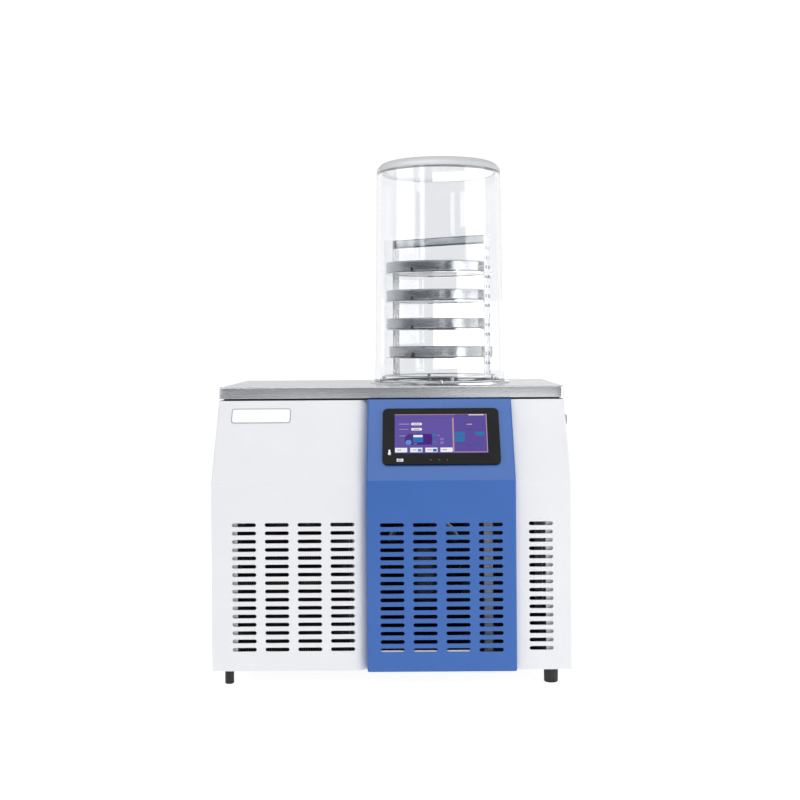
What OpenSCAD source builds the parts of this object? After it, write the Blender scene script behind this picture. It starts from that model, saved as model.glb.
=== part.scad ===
// Tabletop freeze dryer: a sheet-metal refrigeration cabinet with a sloping screen panel,
// a cold trap let into its stainless worktop, and a clear bell jar over a rack of four trays.
// x runs to the right, y to the back and z up from the bench.

/* [Cabinet] */
// Width of the cabinet
cabinet_w = 600; // [580:5:660]
// Depth of the cabinet, from its white front to its back
cabinet_d = 440; // [430:5:500]
// Height of the feet
foot_h = 28; // [20:1:40]
// Height of the upright part of the front
front_h = 313; // [305:1:340]
// Height of the sloping part of the front
slope_rise = 131.5; // [125:0.5:150]
// How far the slope leans back
slope_depth = 90; // [75:1:95]
// Thickness of the cabinet's sheet metal
sheet_t = 1.5; // [1:0.1:2]
// Outside radius of a fold in the sheet
fold_r = 3; // [2.5:0.1:5]
// How far a cover's inner edge returns into the cabinet
cover_return = 20; // [16:1:25]
// Outside radius of the left cover's rolled inner edge
roll_r = 30; // [26:1:34]

/* [Centre panel] */
// Width of the centre panel
panel_w = 248; // [242:1:256]
// Centre of the panel, to the right of the cabinet's centre
panel_x = 83; // [78:1:88]
// How far the panel stands in front of the covers
panel_proud = 10; // [6:0.5:14]
// How much higher than the covers the panel ends
panel_rise = 1.5; // [0:0.1:2]
// How far the panel laps over a cover's inner edge
panel_lap = 8; // [6:0.5:10]
// Radius of the panel's lower corners, seen from the front
panel_corner_r = 3.5; // [2:0.5:5]

/* [Air slots] */
// Length of a slot
slot_l = 40; // [34:0.5:44]
// Height of a slot
slot_h = 6.4; // [5:0.1:8]
// Spacing of the slot rows
slot_row = 13.8; // [12:0.1:15]
// Spacing of the slot columns
slot_col = 54.5; // [50:0.5:56]
// Number of rows
slot_rows = 16; // [10:1:16]
// Height of the lowest row above the cabinet's lower edge
slot_low = 35.6; // [30:0.1:42]
// Outer end of the left grille, in from the cabinet's side
slot_left_in = 35; // [32:0.5:38]
// Outer end of the right grille, in from the cabinet's side
slot_right_in = 31.5; // [28:0.5:36]

/* [Worktop] */
// Height of the worktop's folded edge
top_h = 20; // [16:0.5:26]
// Shadow gap under the worktop
top_gap = 3.5; // [2:0.1:6]
// How far the backing board stays behind the worktop's edge
board_in = 8; // [5:0.5:12]
// Radius of the worktop's upright corners
top_corner_r = 5; // [3:0.5:10]

/* [Cold trap] */
// Distance of the trap's axis to the right of the cabinet's centre
trap_x = 88; // [82:1:94]
// Distance of the trap's axis behind the cabinet's centre
trap_y = 45; // [38:1:52]
// Inside radius of the trap
trap_r = 100; // [95:0.5:101]
// Depth of the trap below the worktop
trap_depth = 150; // [120:1:160]
// Wall of the trap
trap_t = 1.5; // [1:0.1:2]
// Width of the trap's rim
trap_rim = 12; // [11:0.5:12.5]
// Thickness of the foam round the trap
foam_t = 28; // [20:1:30]
// Radius of the cooling tube
coil_tube_r = 4.8; // [3:0.1:5]
// Spacing of the cooling turns
coil_pitch = 15; // [12:0.5:18]
// Number of cooling turns
coil_turns = 8; // [5:1:8]

/* [Bell jar] */
// Outside radius of the jar at its foot
jar_r = 121.5; // [121:0.5:126]
// Outside radius of the jar at its shoulder
jar_top_r = 116.5; // [116:0.5:121]
// Height of the jar
jar_h = 405.5; // [400:0.5:440]
// Wall of the jar
jar_t = 9; // [7:0.5:9.5]
// Thickness of the jar's top
jar_top_t = 20; // [12:0.5:24]
// Outside radius of the jar's shoulder
jar_shoulder_r = 19; // [12:0.5:22]
// Outside radius of the steel seat ring
seat_r = 131; // [128:0.5:138]
// Thickness of the steel seat ring
seat_h = 3.5; // [3:0.1:6]
// Thickness of the rubber seal
seal_h = 3; // [2:0.1:5]

/* [Rack] */
// Turn of the rack, seen from above
rack_turn = -34.5; // [-60:0.5:60]
// Height of the uprights above the rack's base
upright_h = 258; // [255:1:275]
// Width of an upright
upright_w = 20; // [19:0.5:24]
// Thickness of an upright
upright_t = 1.5; // [1:0.1:2]
// Radius of the uprights' inner faces
upright_r = 101.5; // [101.5:0.1:102]
// Height of the rack's base above the worktop
rack_base_h = 15; // [12:0.5:20]
// Spacing of the hook slots in an upright
hook_pitch = 17.57; // [17:0.01:17.6]
// Height of the hand bar
bar_h = 16; // [12:0.5:20]
// Thickness of the hand bar
bar_t = 8; // [5:0.5:12]

/* [Trays] */
// Outside radius of a tray
tray_r = 97.5; // [90:0.5:97.5]
// Height of a tray
tray_h = 20; // [15:0.5:24]
// Wall of a tray
tray_t = 1.2; // [0.8:0.1:2]
// Spacing of the trays
tray_pitch = 52.1; // [50:0.1:54]
// Height of the lowest tray above the worktop
tray_low = 48.5; // [46:0.5:56]

/* [Screen] */
// Width of the screen's bezel
bezel_w = 198; // [190:1:210]
// Height of the bezel, along the slope
bezel_h = 108.5; // [104:0.5:114]
// How far the bezel stands off the panel
bezel_t = 3.5; // [2:0.1:6]
// Radius of the bezel's corners
bezel_r = 9; // [5:0.5:12]
// Distance of the bezel above the fold, along the slope
bezel_up = 25.5; // [22:0.5:32]
// Width of the display
display_w = 157; // [150:0.5:162]
// Height of the display
display_h = 75.5; // [70:0.5:78]
// Bezel below the display
bezel_low = 21.4; // [18:0.1:24]

/* [Refrigeration] */
// Radius of the compressor's shell
compressor_r = 70; // [60:1:72]
// Height of the compressor's shell
compressor_h = 190; // [170:1:200]
// Width of the condenser
condenser_w = 186; // [170:1:188]
// Height of the condenser's fins
condenser_h = 230; // [215:1:235]
// Depth of the condenser
condenser_d = 44; // [38:1:48]
// Number of condenser fins
fin_count = 28; // [16:1:34]
// Radius of the fan
fan_r = 84; // [75:0.5:86]
// Number of fan blades
blade_count = 5; // [3:1:7]

/* [Services] */
// Radius of the vacuum port's bore
port_r = 12; // [10:0.1:13]
// Radius of the drain's hose end
spigot_r = 5; // [4:0.1:6]
// Radius of the air-inlet knob
knob_r = 9; // [7:0.5:12]
// Length of the air-inlet knob
knob_l = 13; // [10:0.5:18]
// Radius of a right foot
foot_right_r = 12.5; // [10:0.5:16]
// Radius of a left foot
foot_left_r = 8; // [7:0.5:12]

/* [Hidden] */
$fn = 48;

// Clearances, and how far a cutter runs past what it cuts
seat = 0.3;      // round a piece that is lowered or pushed onto its seat
run_fit = 0.05;  // round a turning shaft
over = 1;        // overrun of a cutter
reach = cabinet_w + front_h;
no_end = 2 * reach;

// Planes of the cabinet
slope_a = atan(slope_depth / slope_rise);
front_y = -cabinet_d / 2;
back_y = cabinet_d / 2;
side_x = cabinet_w / 2;
base_z = foot_h;
knee_z = base_z + front_h;
cover_z = knee_z + slope_rise;
panel_x0 = panel_x - panel_w / 2;
panel_x1 = panel_x + panel_w / 2;
panel_return = panel_proud + cover_return + 2;
flange_x = panel_w / 2 - panel_lap - seat - sheet_t;
roll_depth = roll_r - sqrt(pow(roll_r, 2) - pow(roll_r - panel_lap, 2));
slot_deep = 6;
inner_x = side_x - sheet_t - seat;
top_z = cover_z + top_gap + top_h;
top_front_y = front_y + slope_depth;
top_d = back_y - top_front_y;
board_z = top_z - sheet_t;

// Pan and frame
floor_t = 2;
pan_rim_h = 20;
post = 15;
post_gap = 3.5;
floor_z = base_z + floor_t;
pan_front_y = front_y + cover_return + 2 + seat;
pan_h = floor_t + pan_rim_h;
post_y = top_front_y + board_in;
rail_z = cover_z - post;
frame_x = inner_x - sheet_t - seat;
frame_back_y = back_y - 2 * sheet_t - 2 * seat - post;
post_right_x = panel_x + panel_w / 2 - 47;

// Feet and screws
foot_collar_h = 4;
foot_taper = 0.94;
foot_left_in = 25;
foot_right_in = 33;
foot_in_y = 30;
screw_r = 4;
screw_h = 1.6;
screw_chamfer = 1;
screw_rows_y = [-60, 60, 180];
screw_in = 12;
screw_low = 14;
screw_down = 20;

// Rear grilles
rear_rows = 13;
rear_columns = 3;
rear_low = 180;
rear_left_x = slot_left_in + 15 - side_x;
rear_right_x = trap_x + 23;

// Cold trap
trap_outer_r = trap_r + trap_t;
trap_bottom_z = top_z - trap_depth;
coil_r = trap_outer_r + coil_tube_r + run_fit;
header_a = -100;
foam_r = trap_outer_r + 2 * coil_tube_r + 1 + foam_t;
foam_bore_r = coil_r + coil_tube_r + 2 * run_fit;
foam_bottom_z = trap_bottom_z - trap_t - foam_t;
drain_tube_r = 5;
drain_tube_t = 1;
drain_bend = 9;
drain_z = foam_bottom_z - 12;

// Bell jar and its seat
seat_inner_r = trap_r + trap_rim + 1;
seal_z = top_z + seat_h;
jar_z = seal_z + seal_h;
seal_r0 = jar_r - jar_t - 0.5;
seal_r1 = jar_r + 1.5;
stud_r = 4;
stud_cone_h = 1.2;
stud_up = 1;
stud_turns = [207, 270, 20];
jar_inner_corner = 7;

// Rack
rack_plate_t = 1.5;
rack_plate_w = 18;
rack_z = top_z + rack_base_h;
rack_r = upright_r + upright_t + 0.5;
rack_foot_r = 3.3;
rack_foot_at = trap_r + rack_foot_r + 1.5;
bar_z = rack_z + upright_h - bar_h / 2;
bar_wall = 1.2;
bar_corner_r = 3;
hook_first = 5;
hook_rows = floor((upright_h - hook_first - bar_h) / hook_pitch) + 1;
hook_hole_w = 5.5;
hook_hole_h = 6;
hook_hole_at = 5;
hook_w = 4;
hook_h = 2.5;
hook_l = 4;
shelf_t = 1.2;
shelf_w = 15;
shelf_r = upright_r - seat;
leg_in = 1.5;
lug_w = 14;
lug_h = 9;
lug_out = 1;
tray_foot = 2;
tray_shift = [3, -2, -2, -2];

// Screen
glass_t = 2;
glass_in = 0.5;
housing_w = 176;
housing_h = 90;
housing_d = 26;
bezel_x = 1.5;
display_rim_x = 3;
display_rim_y = 2;
display_up = bezel_low + display_h / 2 - bezel_h / 2;

// Condenser and fan
cond_x = slot_left_in + 8 + condenser_w / 2 - side_x;
cond_y = pan_front_y + sheet_t + 2;
cond_end_t = 1.5;
cond_end_gap = 0.5;
fin_t = 0.8;
fin_up = 4;
cond_tube_r = 4;
cond_rows = 6;
cond_pitch = condenser_h / cond_rows;
cond_bend = 8;
cond_near = 0.27;
cond_far = 0.73;
cond_near_y = cond_y + cond_near * condenser_d;
cond_far_y = cond_y + cond_far * condenser_d;
cond_tube_x = cond_x + condenser_w / 2 + cond_end_t + 1 + cond_bend;
shroud_t = 1.5;
shroud_in = 2;
shroud_y = cond_y + condenser_d;
shroud_ring_d = 22;
fan_z = floor_z + condenser_h / 2 + 6;
fan_gap = 3;
fan_y = shroud_y + shroud_t + 3;
fan_d = 16;
blade_w = 48;
blade_t = 1.6;
blade_tilt = 28;
hub_r = 22;
hub_bore_l = 13;
shaft_r = 3;
shaft_l = 14;
motor_r = 27;
motor_l = 42;
motor_y = fan_y + fan_d + 2;
motor_ring_t = 3;
motor_ring_l = 8;
arm_w = 8;
arm_t = 2;

// Compressor
comp_x = 55;
comp_y = 60;
comp_plate_w = 190;
comp_plate_d = 130;
comp_plate_t = 3;
comp_hole_in = 12;
comp_hole_r = 4;
comp_bottom_r = 14;
comp_dome_r = 45;
comp_seam_w = 3;
comp_seam_h = 8;
comp_seam_z = compressor_h / 2;
grommet_r = 10;
grommet_h = 12;
grommet_tip = 4;
comp_z = floor_z + grommet_h + comp_plate_t;
comp_top_z = comp_z + compressor_h;
box_l = 28;
box_w = 56;
box_h = 46;
box_up = 30;

// Pipes
line_r = 4;
line_bend = 6;
capillary_r = 2;
line_x = cond_tube_x + line_bend + 1;
post_left_x = line_x - line_r - post_gap - post;
suction_at = 15;
discharge_at = [-14, 10];
discharge_up = 24;
drier_r = 12;
drier_l = 80;
drier_cone = 12;
drier_y0 = post_y + post + drier_r;
liquid_in = 26;
liquid_back = 40;
liquid_down = 30;

// Control box
control_w = 130;
control_d = 120;
control_h = 190;
control_in = 22;
control_back = 40;
control_t = 2;
control_rim = 12;

// Vacuum port and drain valve
port_wall = 2;
port_x = trap_x + 62;
port_z = rail_z - port_r - port_wall - 5;
port_l = 40;
port_flange_r = port_r + 8;
port_flange_t = 3;
port_cone = 4;
port_collar_t = 2;
port_reach = 28;
port_mouth_y = back_y + port_reach;
port_inner_y = back_y - port_l;
port_step = 0.5;
valve_body_r = 8;
drain_valve_l = 26;
drain_nut_r = 10;
drain_nut_l = 6;
drain_bore_r = 3.5;
spigot_l = 14;
gland_r = 5;
gland_in = 1.5;
lever_stem_r = 3;
lever_hub_r = 6;
lever_hub_h = 5;
lever_l = 40;
lever_w = 9;
lever_t = 3;
lever_up = 1;
lever_y = back_y + drain_valve_l / 2;
lever_z = drain_z + valve_body_r + 4;

// Air inlet
knob_y = -11;
knob_z = cover_z - 43.5;
knob_gap = 4;
knob_bore_l = 9;
knob_flute_r = 1.2;
knob_flute_out = 0.4;
knob_flutes = 12;
knob_flange = 2;
valve_plate_r = 10;
valve_plate_t = 2;
valve_stem_r = 4;
valve_shank_r = 6;
valve_shank_l = 14;
valve_nut_t = 5;
vent_tube_r = 3;
knob_x = side_x + valve_plate_t + knob_gap;

// Sockets and switch
inlet_in = 85;
socket_step = 50;
switch_step = 45;
inlet_x = inlet_in - side_x;
socket_x = inlet_x + socket_step;
switch_x = socket_x + switch_step;
service_z = base_z + 64;
service_flange_t = 2;
socket_w = 27;
socket_h = 20;
socket_d = 18;
socket_flange = [14, 5];
socket_corner_r = 3;
socket_wall = [3, 5];
socket_well = 15;
pin_w = 2;
pin_h = 4;
pin_l = 11;
pins = [[-7, 1.5], [0, -3], [7, 1.5]];
switch_w = 22;
switch_h = 30;
switch_d = 16;
switch_wall = 2;
switch_well = 12;
switch_flange = 4;
switch_corner_r = 2;
rocker_w = switch_w - 2 * switch_wall - 2 * seat;
rocker_half = switch_h / 2 - 3;
rocker_t = 4;
rocker_tilt = 8;
pivot_in = 4;
pivot_r = 1.2;
pivot_bore_end = 0.4;

// The part's origin is the middle of its footprint on the bench
rear_reach = max(port_reach, drain_valve_l + spigot_l);
side_reach = valve_plate_t + knob_gap + knob_l;

module place() {
    translate([(screw_h - side_reach) / 2, (panel_proud - rear_reach) / 2, 0]) children();
}

// ---- Shapes that several pieces share ----

module at_knee(lean) translate([0, front_y, knee_z]) rotate([-lean, 0, 0]) children();

module at_trap(z) translate([trap_x, trap_y, z]) children();

// Quarter disc that rounds a lower left corner
module corner(r) {
    intersection() {
        circle(r);
        translate([-r - over, -r - over]) square(r + over);
    }
}

module round_rect(w, h, r) {
    translate([r - w / 2, -h / 2]) square([w - 2 * r, h]);
    translate([-w / 2, r - h / 2]) square([w, h - 2 * r]);
    for (i = [0, 1], j = [0, 1])
        mirror([i, 0]) mirror([0, j]) translate([r - w / 2, r - h / 2]) corner(r);
}

// Plan of a block that is endless to the back, its two front corners rounded
module front_plan(x0, x1, y, r0, r1) {
    translate([x0 + r0, y]) square([x1 - x0 - r0 - r1, reach]);
    translate([x0, y + r0]) square([r0, reach - r0]);
    translate([x0 + r0, y + r0]) corner(r0);
    translate([x1 - r1, y + r1]) square([r1, reach - r1]);
    translate([x1 - r1, y + r1]) mirror([1, 0]) corner(r1);
}

// Plan of a bent sheet: a front and two sides, each with its outside radius and its depth
module sheet_plan(x0, x1, y, r0, r1, deep0, deep1) {
    middle = (x0 + x1) / 2;
    difference() {
        front_plan(x0, x1, y, r0, r1);
        front_plan(x0 + sheet_t, x1 - sheet_t, y + sheet_t, r0 - sheet_t, r1 - sheet_t);
        translate([x0 - over, y + deep0]) square([middle - x0 + over, reach]);
        translate([middle, y + deep1]) square([x1 - middle + over, reach]);
    }
}

// A plan run up to the fold and mirrored in the mitre there, which turns it up the slope
module kneed() {
    at_knee(slope_a / 2) for (side = [0, 1]) mirror([0, 0, side]) intersection() {
        rotate([slope_a / 2, 0, 0]) translate([0, 0, -reach / 2]) linear_extrude(reach) children();
        translate([-reach, -reach, -2 * reach]) cube(2 * reach);
    }
}

module between(z0, z1) {
    intersection() {
        children();
        translate([-reach / 2, -reach / 2, z0]) cube([reach, reach / 2 + back_y, z1 - z0]);
    }
}

module slot_field(columns, rows) {
    for (c = [0 : columns - 1], r = [0 : rows - 1]) translate([c * slot_col, r * slot_row]) {
        translate([slot_h / 2, -slot_h / 2]) square([slot_l - slot_h, slot_h]);
        for (x = [slot_h / 2, slot_l - slot_h / 2]) translate([x, 0]) circle(slot_h / 2);
    }
}

module slot_cutter(x0, columns) {
    translate([x0, front_y + slot_deep, base_z + slot_low]) rotate([90, 0, 0])
        linear_extrude(panel_proud + slot_deep + over) slot_field(columns, slot_rows);
}

// Points of an arc, from angle a0 to a1
function arc(cx, cz, r, a0, a1, n) =
    [for (i = [0 : n]) let (a = a0 + (a1 - a0) * i / n) [cx + r * cos(a), cz + r * sin(a)]];

// A pipe through right-angled bends: straight lengths and quarter turns meet end to end
function unit(a, b) = (b - a) / norm(b - a);
function frame_of(x, y, z, at) =
    [[x[0], y[0], z[0], at[0]], [x[1], y[1], z[1], at[1]], [x[2], y[2], z[2], at[2]], [0, 0, 0, 1]];
function across(d) = abs(d[2]) > 0.9 ? [1, 0, 0] : [0, 0, 1];

module pipe_ring(r, bore) {
    difference() {
        circle(r);
        if (bore > 0) circle(bore);
    }
}

module pipe(route, r, bend, bore = 0) {
    points = [for (p = route) [for (v = p) round(v * 100) / 100]];
    last = len(points) - 1;
    for (i = [0 : last - 1]) {
        d = unit(points[i], points[i + 1]);
        from = i == 0 ? points[i] : points[i] + bend * d;
        to = i == last - 1 ? points[i + 1] : points[i + 1] - bend * d;
        multmatrix(frame_of(across(d), cross(d, across(d)), d, from))
            linear_extrude(norm(to - from)) pipe_ring(r, bore);
    }
    if (last > 1) for (i = [1 : last - 1]) {
        d0 = unit(points[i - 1], points[i]);
        d1 = unit(points[i], points[i + 1]);
        multmatrix(frame_of(-d1, d0, cross(d0, d1), points[i] - bend * d0 + bend * d1))
            rotate_extrude(angle = 90) translate([bend, 0]) pipe_ring(r, bore);
    }
}

// ---- Cabinet ----

module base_pan() {
    w = 2 * inner_x;
    d = back_y - sheet_t - seat - pan_front_y;
    color("gainsboro") place() difference() {
        translate([-inner_x, pan_front_y, base_z]) cube([w, d, pan_h]);
        translate([sheet_t - inner_x, pan_front_y + sheet_t, floor_z])
            cube([w - 2 * sheet_t, d - 2 * sheet_t, pan_h]);
    }
}

// Posts from the pan to the rails that carry the worktop
module frame() {
    post_h = cover_z - floor_z;
    color("silver") place() {
        for (x = [post_left_x, post_right_x])
            translate([x, post_y, floor_z]) cube([post, post, post_h]);
        for (x = [-frame_x, frame_x - post])
            translate([x, frame_back_y, floor_z]) cube([post, post, post_h]);
        for (y = [post_y, frame_back_y])
            translate([-frame_x, y, rail_z]) cube([2 * frame_x, post, post]);
        for (x = [-frame_x, frame_x - post])
            translate([x, post_y, rail_z]) cube([post, frame_back_y - post_y + post, post]);
    }
}

// Room in the sheets' returns for the rail under the worktop
module rail_room() {
    translate([-inner_x, post_y - seat, rail_z - seat])
        cube([2 * inner_x, cabinet_d, post + panel_rise + over]);
}

module cover(x0, x1, r0, r1, deep0, deep1) {
    difference() {
        between(base_z, cover_z) kneed() sheet_plan(x0, x1, 0, r0, r1, deep0, deep1);
        rail_room();
    }
}

module left_cover() {
    color("white") place() difference() {
        cover(-side_x, panel_x0 + panel_lap, fold_r, roll_r, no_end, cover_return);
        slot_cutter(slot_left_in - side_x, 4);
    }
}

module right_cover() {
    color("white") place() difference() {
        cover(panel_x1 - panel_lap, side_x, fold_r, fold_r, cover_return, no_end);
        slot_cutter(side_x - slot_right_in - slot_l, 1);
        translate([side_x - fold_r, knob_y, knob_z]) rotate([0, 90, 0])
            cylinder(r = valve_shank_r + seat, h = 2 * fold_r);
    }
}

// The panel's sides end at the covers, and two inner flanges reach in between them
module panel_plan() {
    x0 = panel_x - flange_x - sheet_t;
    sheet_plan(panel_x0, panel_x1, -panel_proud, fold_r, fold_r,
        panel_proud + roll_depth - seat, panel_proud - seat);
    for (x = [x0, panel_x + flange_x])
        translate([x, sheet_t / 2 - panel_proud]) square([sheet_t, panel_return - sheet_t / 2]);
}

// Takes the point off the panel's lower left corner
module corner_cutter() {
    r = panel_corner_r;
    translate([0, roll_depth, 0]) rotate([90, 0, 0]) linear_extrude(panel_proud + roll_depth + over)
        difference() {
            translate([-over, -over]) square(r + over);
            translate([r, r]) circle(r);
        }
}

module centre_panel() {
    field_w = 3 * slot_col + slot_l;
    end_y = front_y - panel_proud + fold_r;
    top_y = top_front_y - panel_proud + fold_r;
    color("steelblue") place() difference() {
        union() {
            difference() {
                between(base_z, cover_z + panel_rise) kneed() panel_plan();
                rail_room();
            }
            translate([panel_x0 + sheet_t / 2, end_y, base_z])
                cube([panel_w - sheet_t, panel_proud - fold_r - 2 * seat, sheet_t]);
            translate([panel_x - flange_x, end_y, base_z])
                cube([2 * flange_x, panel_return - fold_r - sheet_t, sheet_t]);
            translate([panel_x0 + sheet_t / 2, top_y, cover_z + panel_rise - sheet_t])
                cube([panel_w - sheet_t, panel_proud + board_in - seat - fold_r, sheet_t]);
        }
        slot_cutter(panel_x - field_w / 2, 4);
        for (side = [0, 1]) translate([panel_x, front_y, base_z]) mirror([side, 0, 0])
            translate([-panel_w / 2, 0, 0]) corner_cutter();
        at_screen(-fold_r) linear_extrude(2 * fold_r)
            square([housing_w + 2 * seat, housing_h + 2 * seat], center = true);
    }
}

module rear_panel() {
    w = 2 * inner_x;
    color("white") place() difference() {
        translate([-inner_x, back_y - sheet_t, base_z]) cube([w, sheet_t, cover_z - base_z]);
        for (x = [rear_left_x, rear_right_x])
            translate([x, back_y + over, base_z + rear_low]) rotate([90, 0, 0])
                linear_extrude(sheet_t + 2 * over) slot_field(rear_columns, rear_rows);
        translate([port_x, back_y + over, port_z]) rotate([90, 0, 0])
            cylinder(r = port_r + port_wall + seat, h = sheet_t + 2 * over);
        translate([trap_x, back_y + over, drain_z]) rotate([90, 0, 0])
            cylinder(r = drain_tube_r + seat, h = sheet_t + 2 * over);
        for (x = [inlet_x, socket_x]) translate([x, back_y, service_z])
            cube([socket_w + 2 * seat, 4 * sheet_t, socket_h + 2 * seat], center = true);
        translate([switch_x, back_y, service_z])
            cube([switch_w + 2 * seat, 4 * sheet_t, switch_h + 2 * seat], center = true);
    }
}

module backing_board() {
    x = side_x - board_in;
    color("black") place() difference() {
        translate([-x, top_front_y + board_in, cover_z])
            cube([2 * x, top_d - 2 * board_in, board_z - cover_z]);
        at_trap(cover_z - over) cylinder(r = trap_outer_r + seat, h = top_h + top_gap + 2 * over);
    }
}

// Folded worktop: a plate with its edges turned down
module worktop() {
    inner_h = top_h - sheet_t;
    color("lightgray") place() difference() {
        translate([0, back_y - top_d / 2, top_z - top_h])
            linear_extrude(top_h) round_rect(cabinet_w, top_d, top_corner_r);
        translate([0, back_y - top_d / 2, top_z - top_h - over]) linear_extrude(inner_h + over)
            round_rect(cabinet_w - 2 * sheet_t, top_d - 2 * sheet_t, top_corner_r - sheet_t);
        at_trap(top_z - top_h) cylinder(r = trap_outer_r + seat, h = top_h + over);
    }
}

module foot(r) {
    cylinder(r1 = r * foot_taper, r2 = r, h = foot_h - foot_collar_h);
    translate([0, 0, foot_h - foot_collar_h]) cylinder(r = r, h = foot_collar_h);
}

module left_feet() {
    color("black") place() for (y = [front_y + foot_in_y, back_y - foot_in_y])
        translate([foot_left_in - side_x, y, 0]) foot(foot_left_r);
}

module right_feet() {
    color("black") place() for (y = [front_y + foot_in_y, back_y - foot_in_y])
        translate([side_x - foot_right_in, y, 0]) foot(foot_right_r);
}

module screw() cylinder(r1 = screw_r, r2 = screw_r - screw_chamfer, h = screw_h);

module cover_screws() {
    x = inner_x - screw_in;
    middle_z = (base_z + cover_z) / 2;
    color("silver") place() {
        for (s = [-1, 1], y = screw_rows_y, z = [base_z + screw_low, cover_z - screw_down])
            translate([s * side_x, y, z]) rotate([0, s * 90, 0]) screw();
        for (s = [-x, x], z = [base_z + screw_low, middle_z, cover_z - screw_in])
            translate([s, back_y, z]) rotate([-90, 0, 0]) screw();
    }
}

// ---- Cold trap ----

module trap_well() {
    bottom_z = trap_bottom_z - trap_t;
    rim_r = trap_r + trap_rim;
    color("silver") place() at_trap(0) difference() {
        rotate_extrude() polygon([
            [0, bottom_z], [trap_outer_r, bottom_z], [trap_outer_r, top_z], [rim_r, top_z],
            [rim_r, top_z + trap_t], [trap_r, top_z + trap_t],
            [trap_r, trap_bottom_z], [0, trap_bottom_z]]);
        translate([0, 0, bottom_z - over])
            cylinder(r = drain_tube_r - drain_tube_t, h = trap_t + 2 * over);
        translate([port_x - trap_x, 0, port_z]) rotate([-90, 0, 0])
            cylinder(r = port_r, h = trap_outer_r + over);
    }
}

// Turns round the trap, left out where the vacuum line and the air inlet pass
function turn_z(i) = trap_bottom_z + coil_tube_r + i * coil_pitch;
function turn_clear(z) =
    abs(z - port_z) > port_r + port_wall + coil_tube_r + over
    && abs(z - knob_z) > vent_tube_r + coil_tube_r + over;

module cooling_coil() {
    color("peru") place() at_trap(0) {
        for (i = [0 : coil_turns - 1]) if (turn_clear(turn_z(i)))
            translate([0, 0, turn_z(i)]) rotate_extrude() translate([coil_r, 0]) circle(coil_tube_r);
        rotate([0, 0, header_a]) translate([coil_r, 0, turn_z(0)])
            cylinder(r = coil_tube_r - drain_tube_t, h = (coil_turns - 1) * coil_pitch);
    }
}

// The foam is trimmed flat where it would meet the rails
module foam_jacket() {
    room_y0 = post_y + post + seat;
    room_y1 = frame_back_y - seat;
    color("wheat") place() difference() {
        intersection() {
            at_trap(foam_bottom_z) cylinder(r = foam_r, h = cover_z - foam_bottom_z);
            translate([-side_x, room_y0, foam_bottom_z - over])
                cube([cabinet_w, room_y1 - room_y0, reach]);
        }
        at_trap(trap_bottom_z - trap_t - run_fit) cylinder(r = foam_bore_r, h = reach);
        at_trap(foam_bottom_z - over) cylinder(r = drain_tube_r + seat, h = foam_t + 2 * over);
        translate([port_x, trap_y, port_z]) rotate([-90, 0, 0])
            cylinder(r = port_r + port_wall + seat, h = foam_r + over);
        translate([trap_x, knob_y, knob_z]) rotate([0, 90, 0])
            cylinder(r = vent_tube_r + seat, h = foam_r + over);
    }
}

module seat_ring() {
    color("silver") place() at_trap(top_z) difference() {
        cylinder(r = seat_r, h = seat_h);
        translate([0, 0, -over]) cylinder(r = seat_inner_r, h = seat_h + 2 * over);
    }
}

module seal_ring() {
    color("gainsboro") place() at_trap(seal_z) difference() {
        cylinder(r = seal_r1, h = seal_h);
        translate([0, 0, -over]) cylinder(r = seal_r0, h = seal_h + 2 * over);
    }
}

// Three studs keep the jar on its seal
module locating_studs() {
    color("silver") place() at_trap(seal_z) for (a = stud_turns)
        rotate([0, 0, a]) translate([seal_r1 + stud_r + seat, 0, 0]) {
            cylinder(r = stud_r, h = seal_h + stud_up);
            translate([0, 0, seal_h + stud_up])
                cylinder(r1 = stud_r, r2 = stud_r - stud_cone_h, h = stud_cone_h);
        }
}

// ---- Bell jar ----

module bell_jar() {
    draft = (jar_r - jar_top_r) / (jar_h - jar_shoulder_r);
    top_inner_z = jar_h - jar_top_t;
    corner_z = top_inner_z - jar_inner_corner;
    inner_top_r = jar_r - jar_t - draft * corner_z;
    color("lightcyan", 0.35) place() at_trap(jar_z) rotate_extrude() polygon(concat(
        [[jar_r - jar_t, 0], [jar_r, 0]],
        arc(jar_top_r - jar_shoulder_r, jar_h - jar_shoulder_r, jar_shoulder_r, 0, 90, 10),
        [[0, jar_h], [0, top_inner_z]],
        arc(inner_top_r - jar_inner_corner, corner_z, jar_inner_corner, 90, 0, 6)));
}

// ---- Rack and trays ----

module on_rack(z) at_trap(z) rotate([0, 0, rack_turn]) children();

module rack_base() {
    foot_z = top_z + trap_t;
    plate_z = rack_z - rack_plate_t;
    color("silver") place() {
        on_rack(plate_z) difference() {
            cylinder(r = rack_r, h = rack_plate_t);
            translate([0, 0, -over]) cylinder(r = rack_r - rack_plate_w, h = rack_plate_t + 2 * over);
        }
        on_rack(foot_z) for (a = [45 : 90 : 315]) rotate([0, 0, a]) translate([rack_foot_at, 0, 0])
            cylinder(r = rack_foot_r, h = plate_z - foot_z);
    }
}

// An upright strip with pairs of hook slots
module upright(side) {
    color("silver") place() on_rack(rack_z) rotate([0, 0, side]) translate([upright_r, 0, 0])
        rotate([90, 0, 90]) linear_extrude(upright_t) difference() {
            translate([-upright_w / 2, 0]) square([upright_w, upright_h]);
            for (i = [0 : hook_rows - 1], s = [-1, 1])
                translate([s * hook_hole_at, hook_first + i * hook_pitch])
                    square([hook_hole_w, hook_hole_h], center = true);
        }
}

module left_upright() {
    upright(180);
}

module right_upright() {
    upright(0);
}

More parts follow.
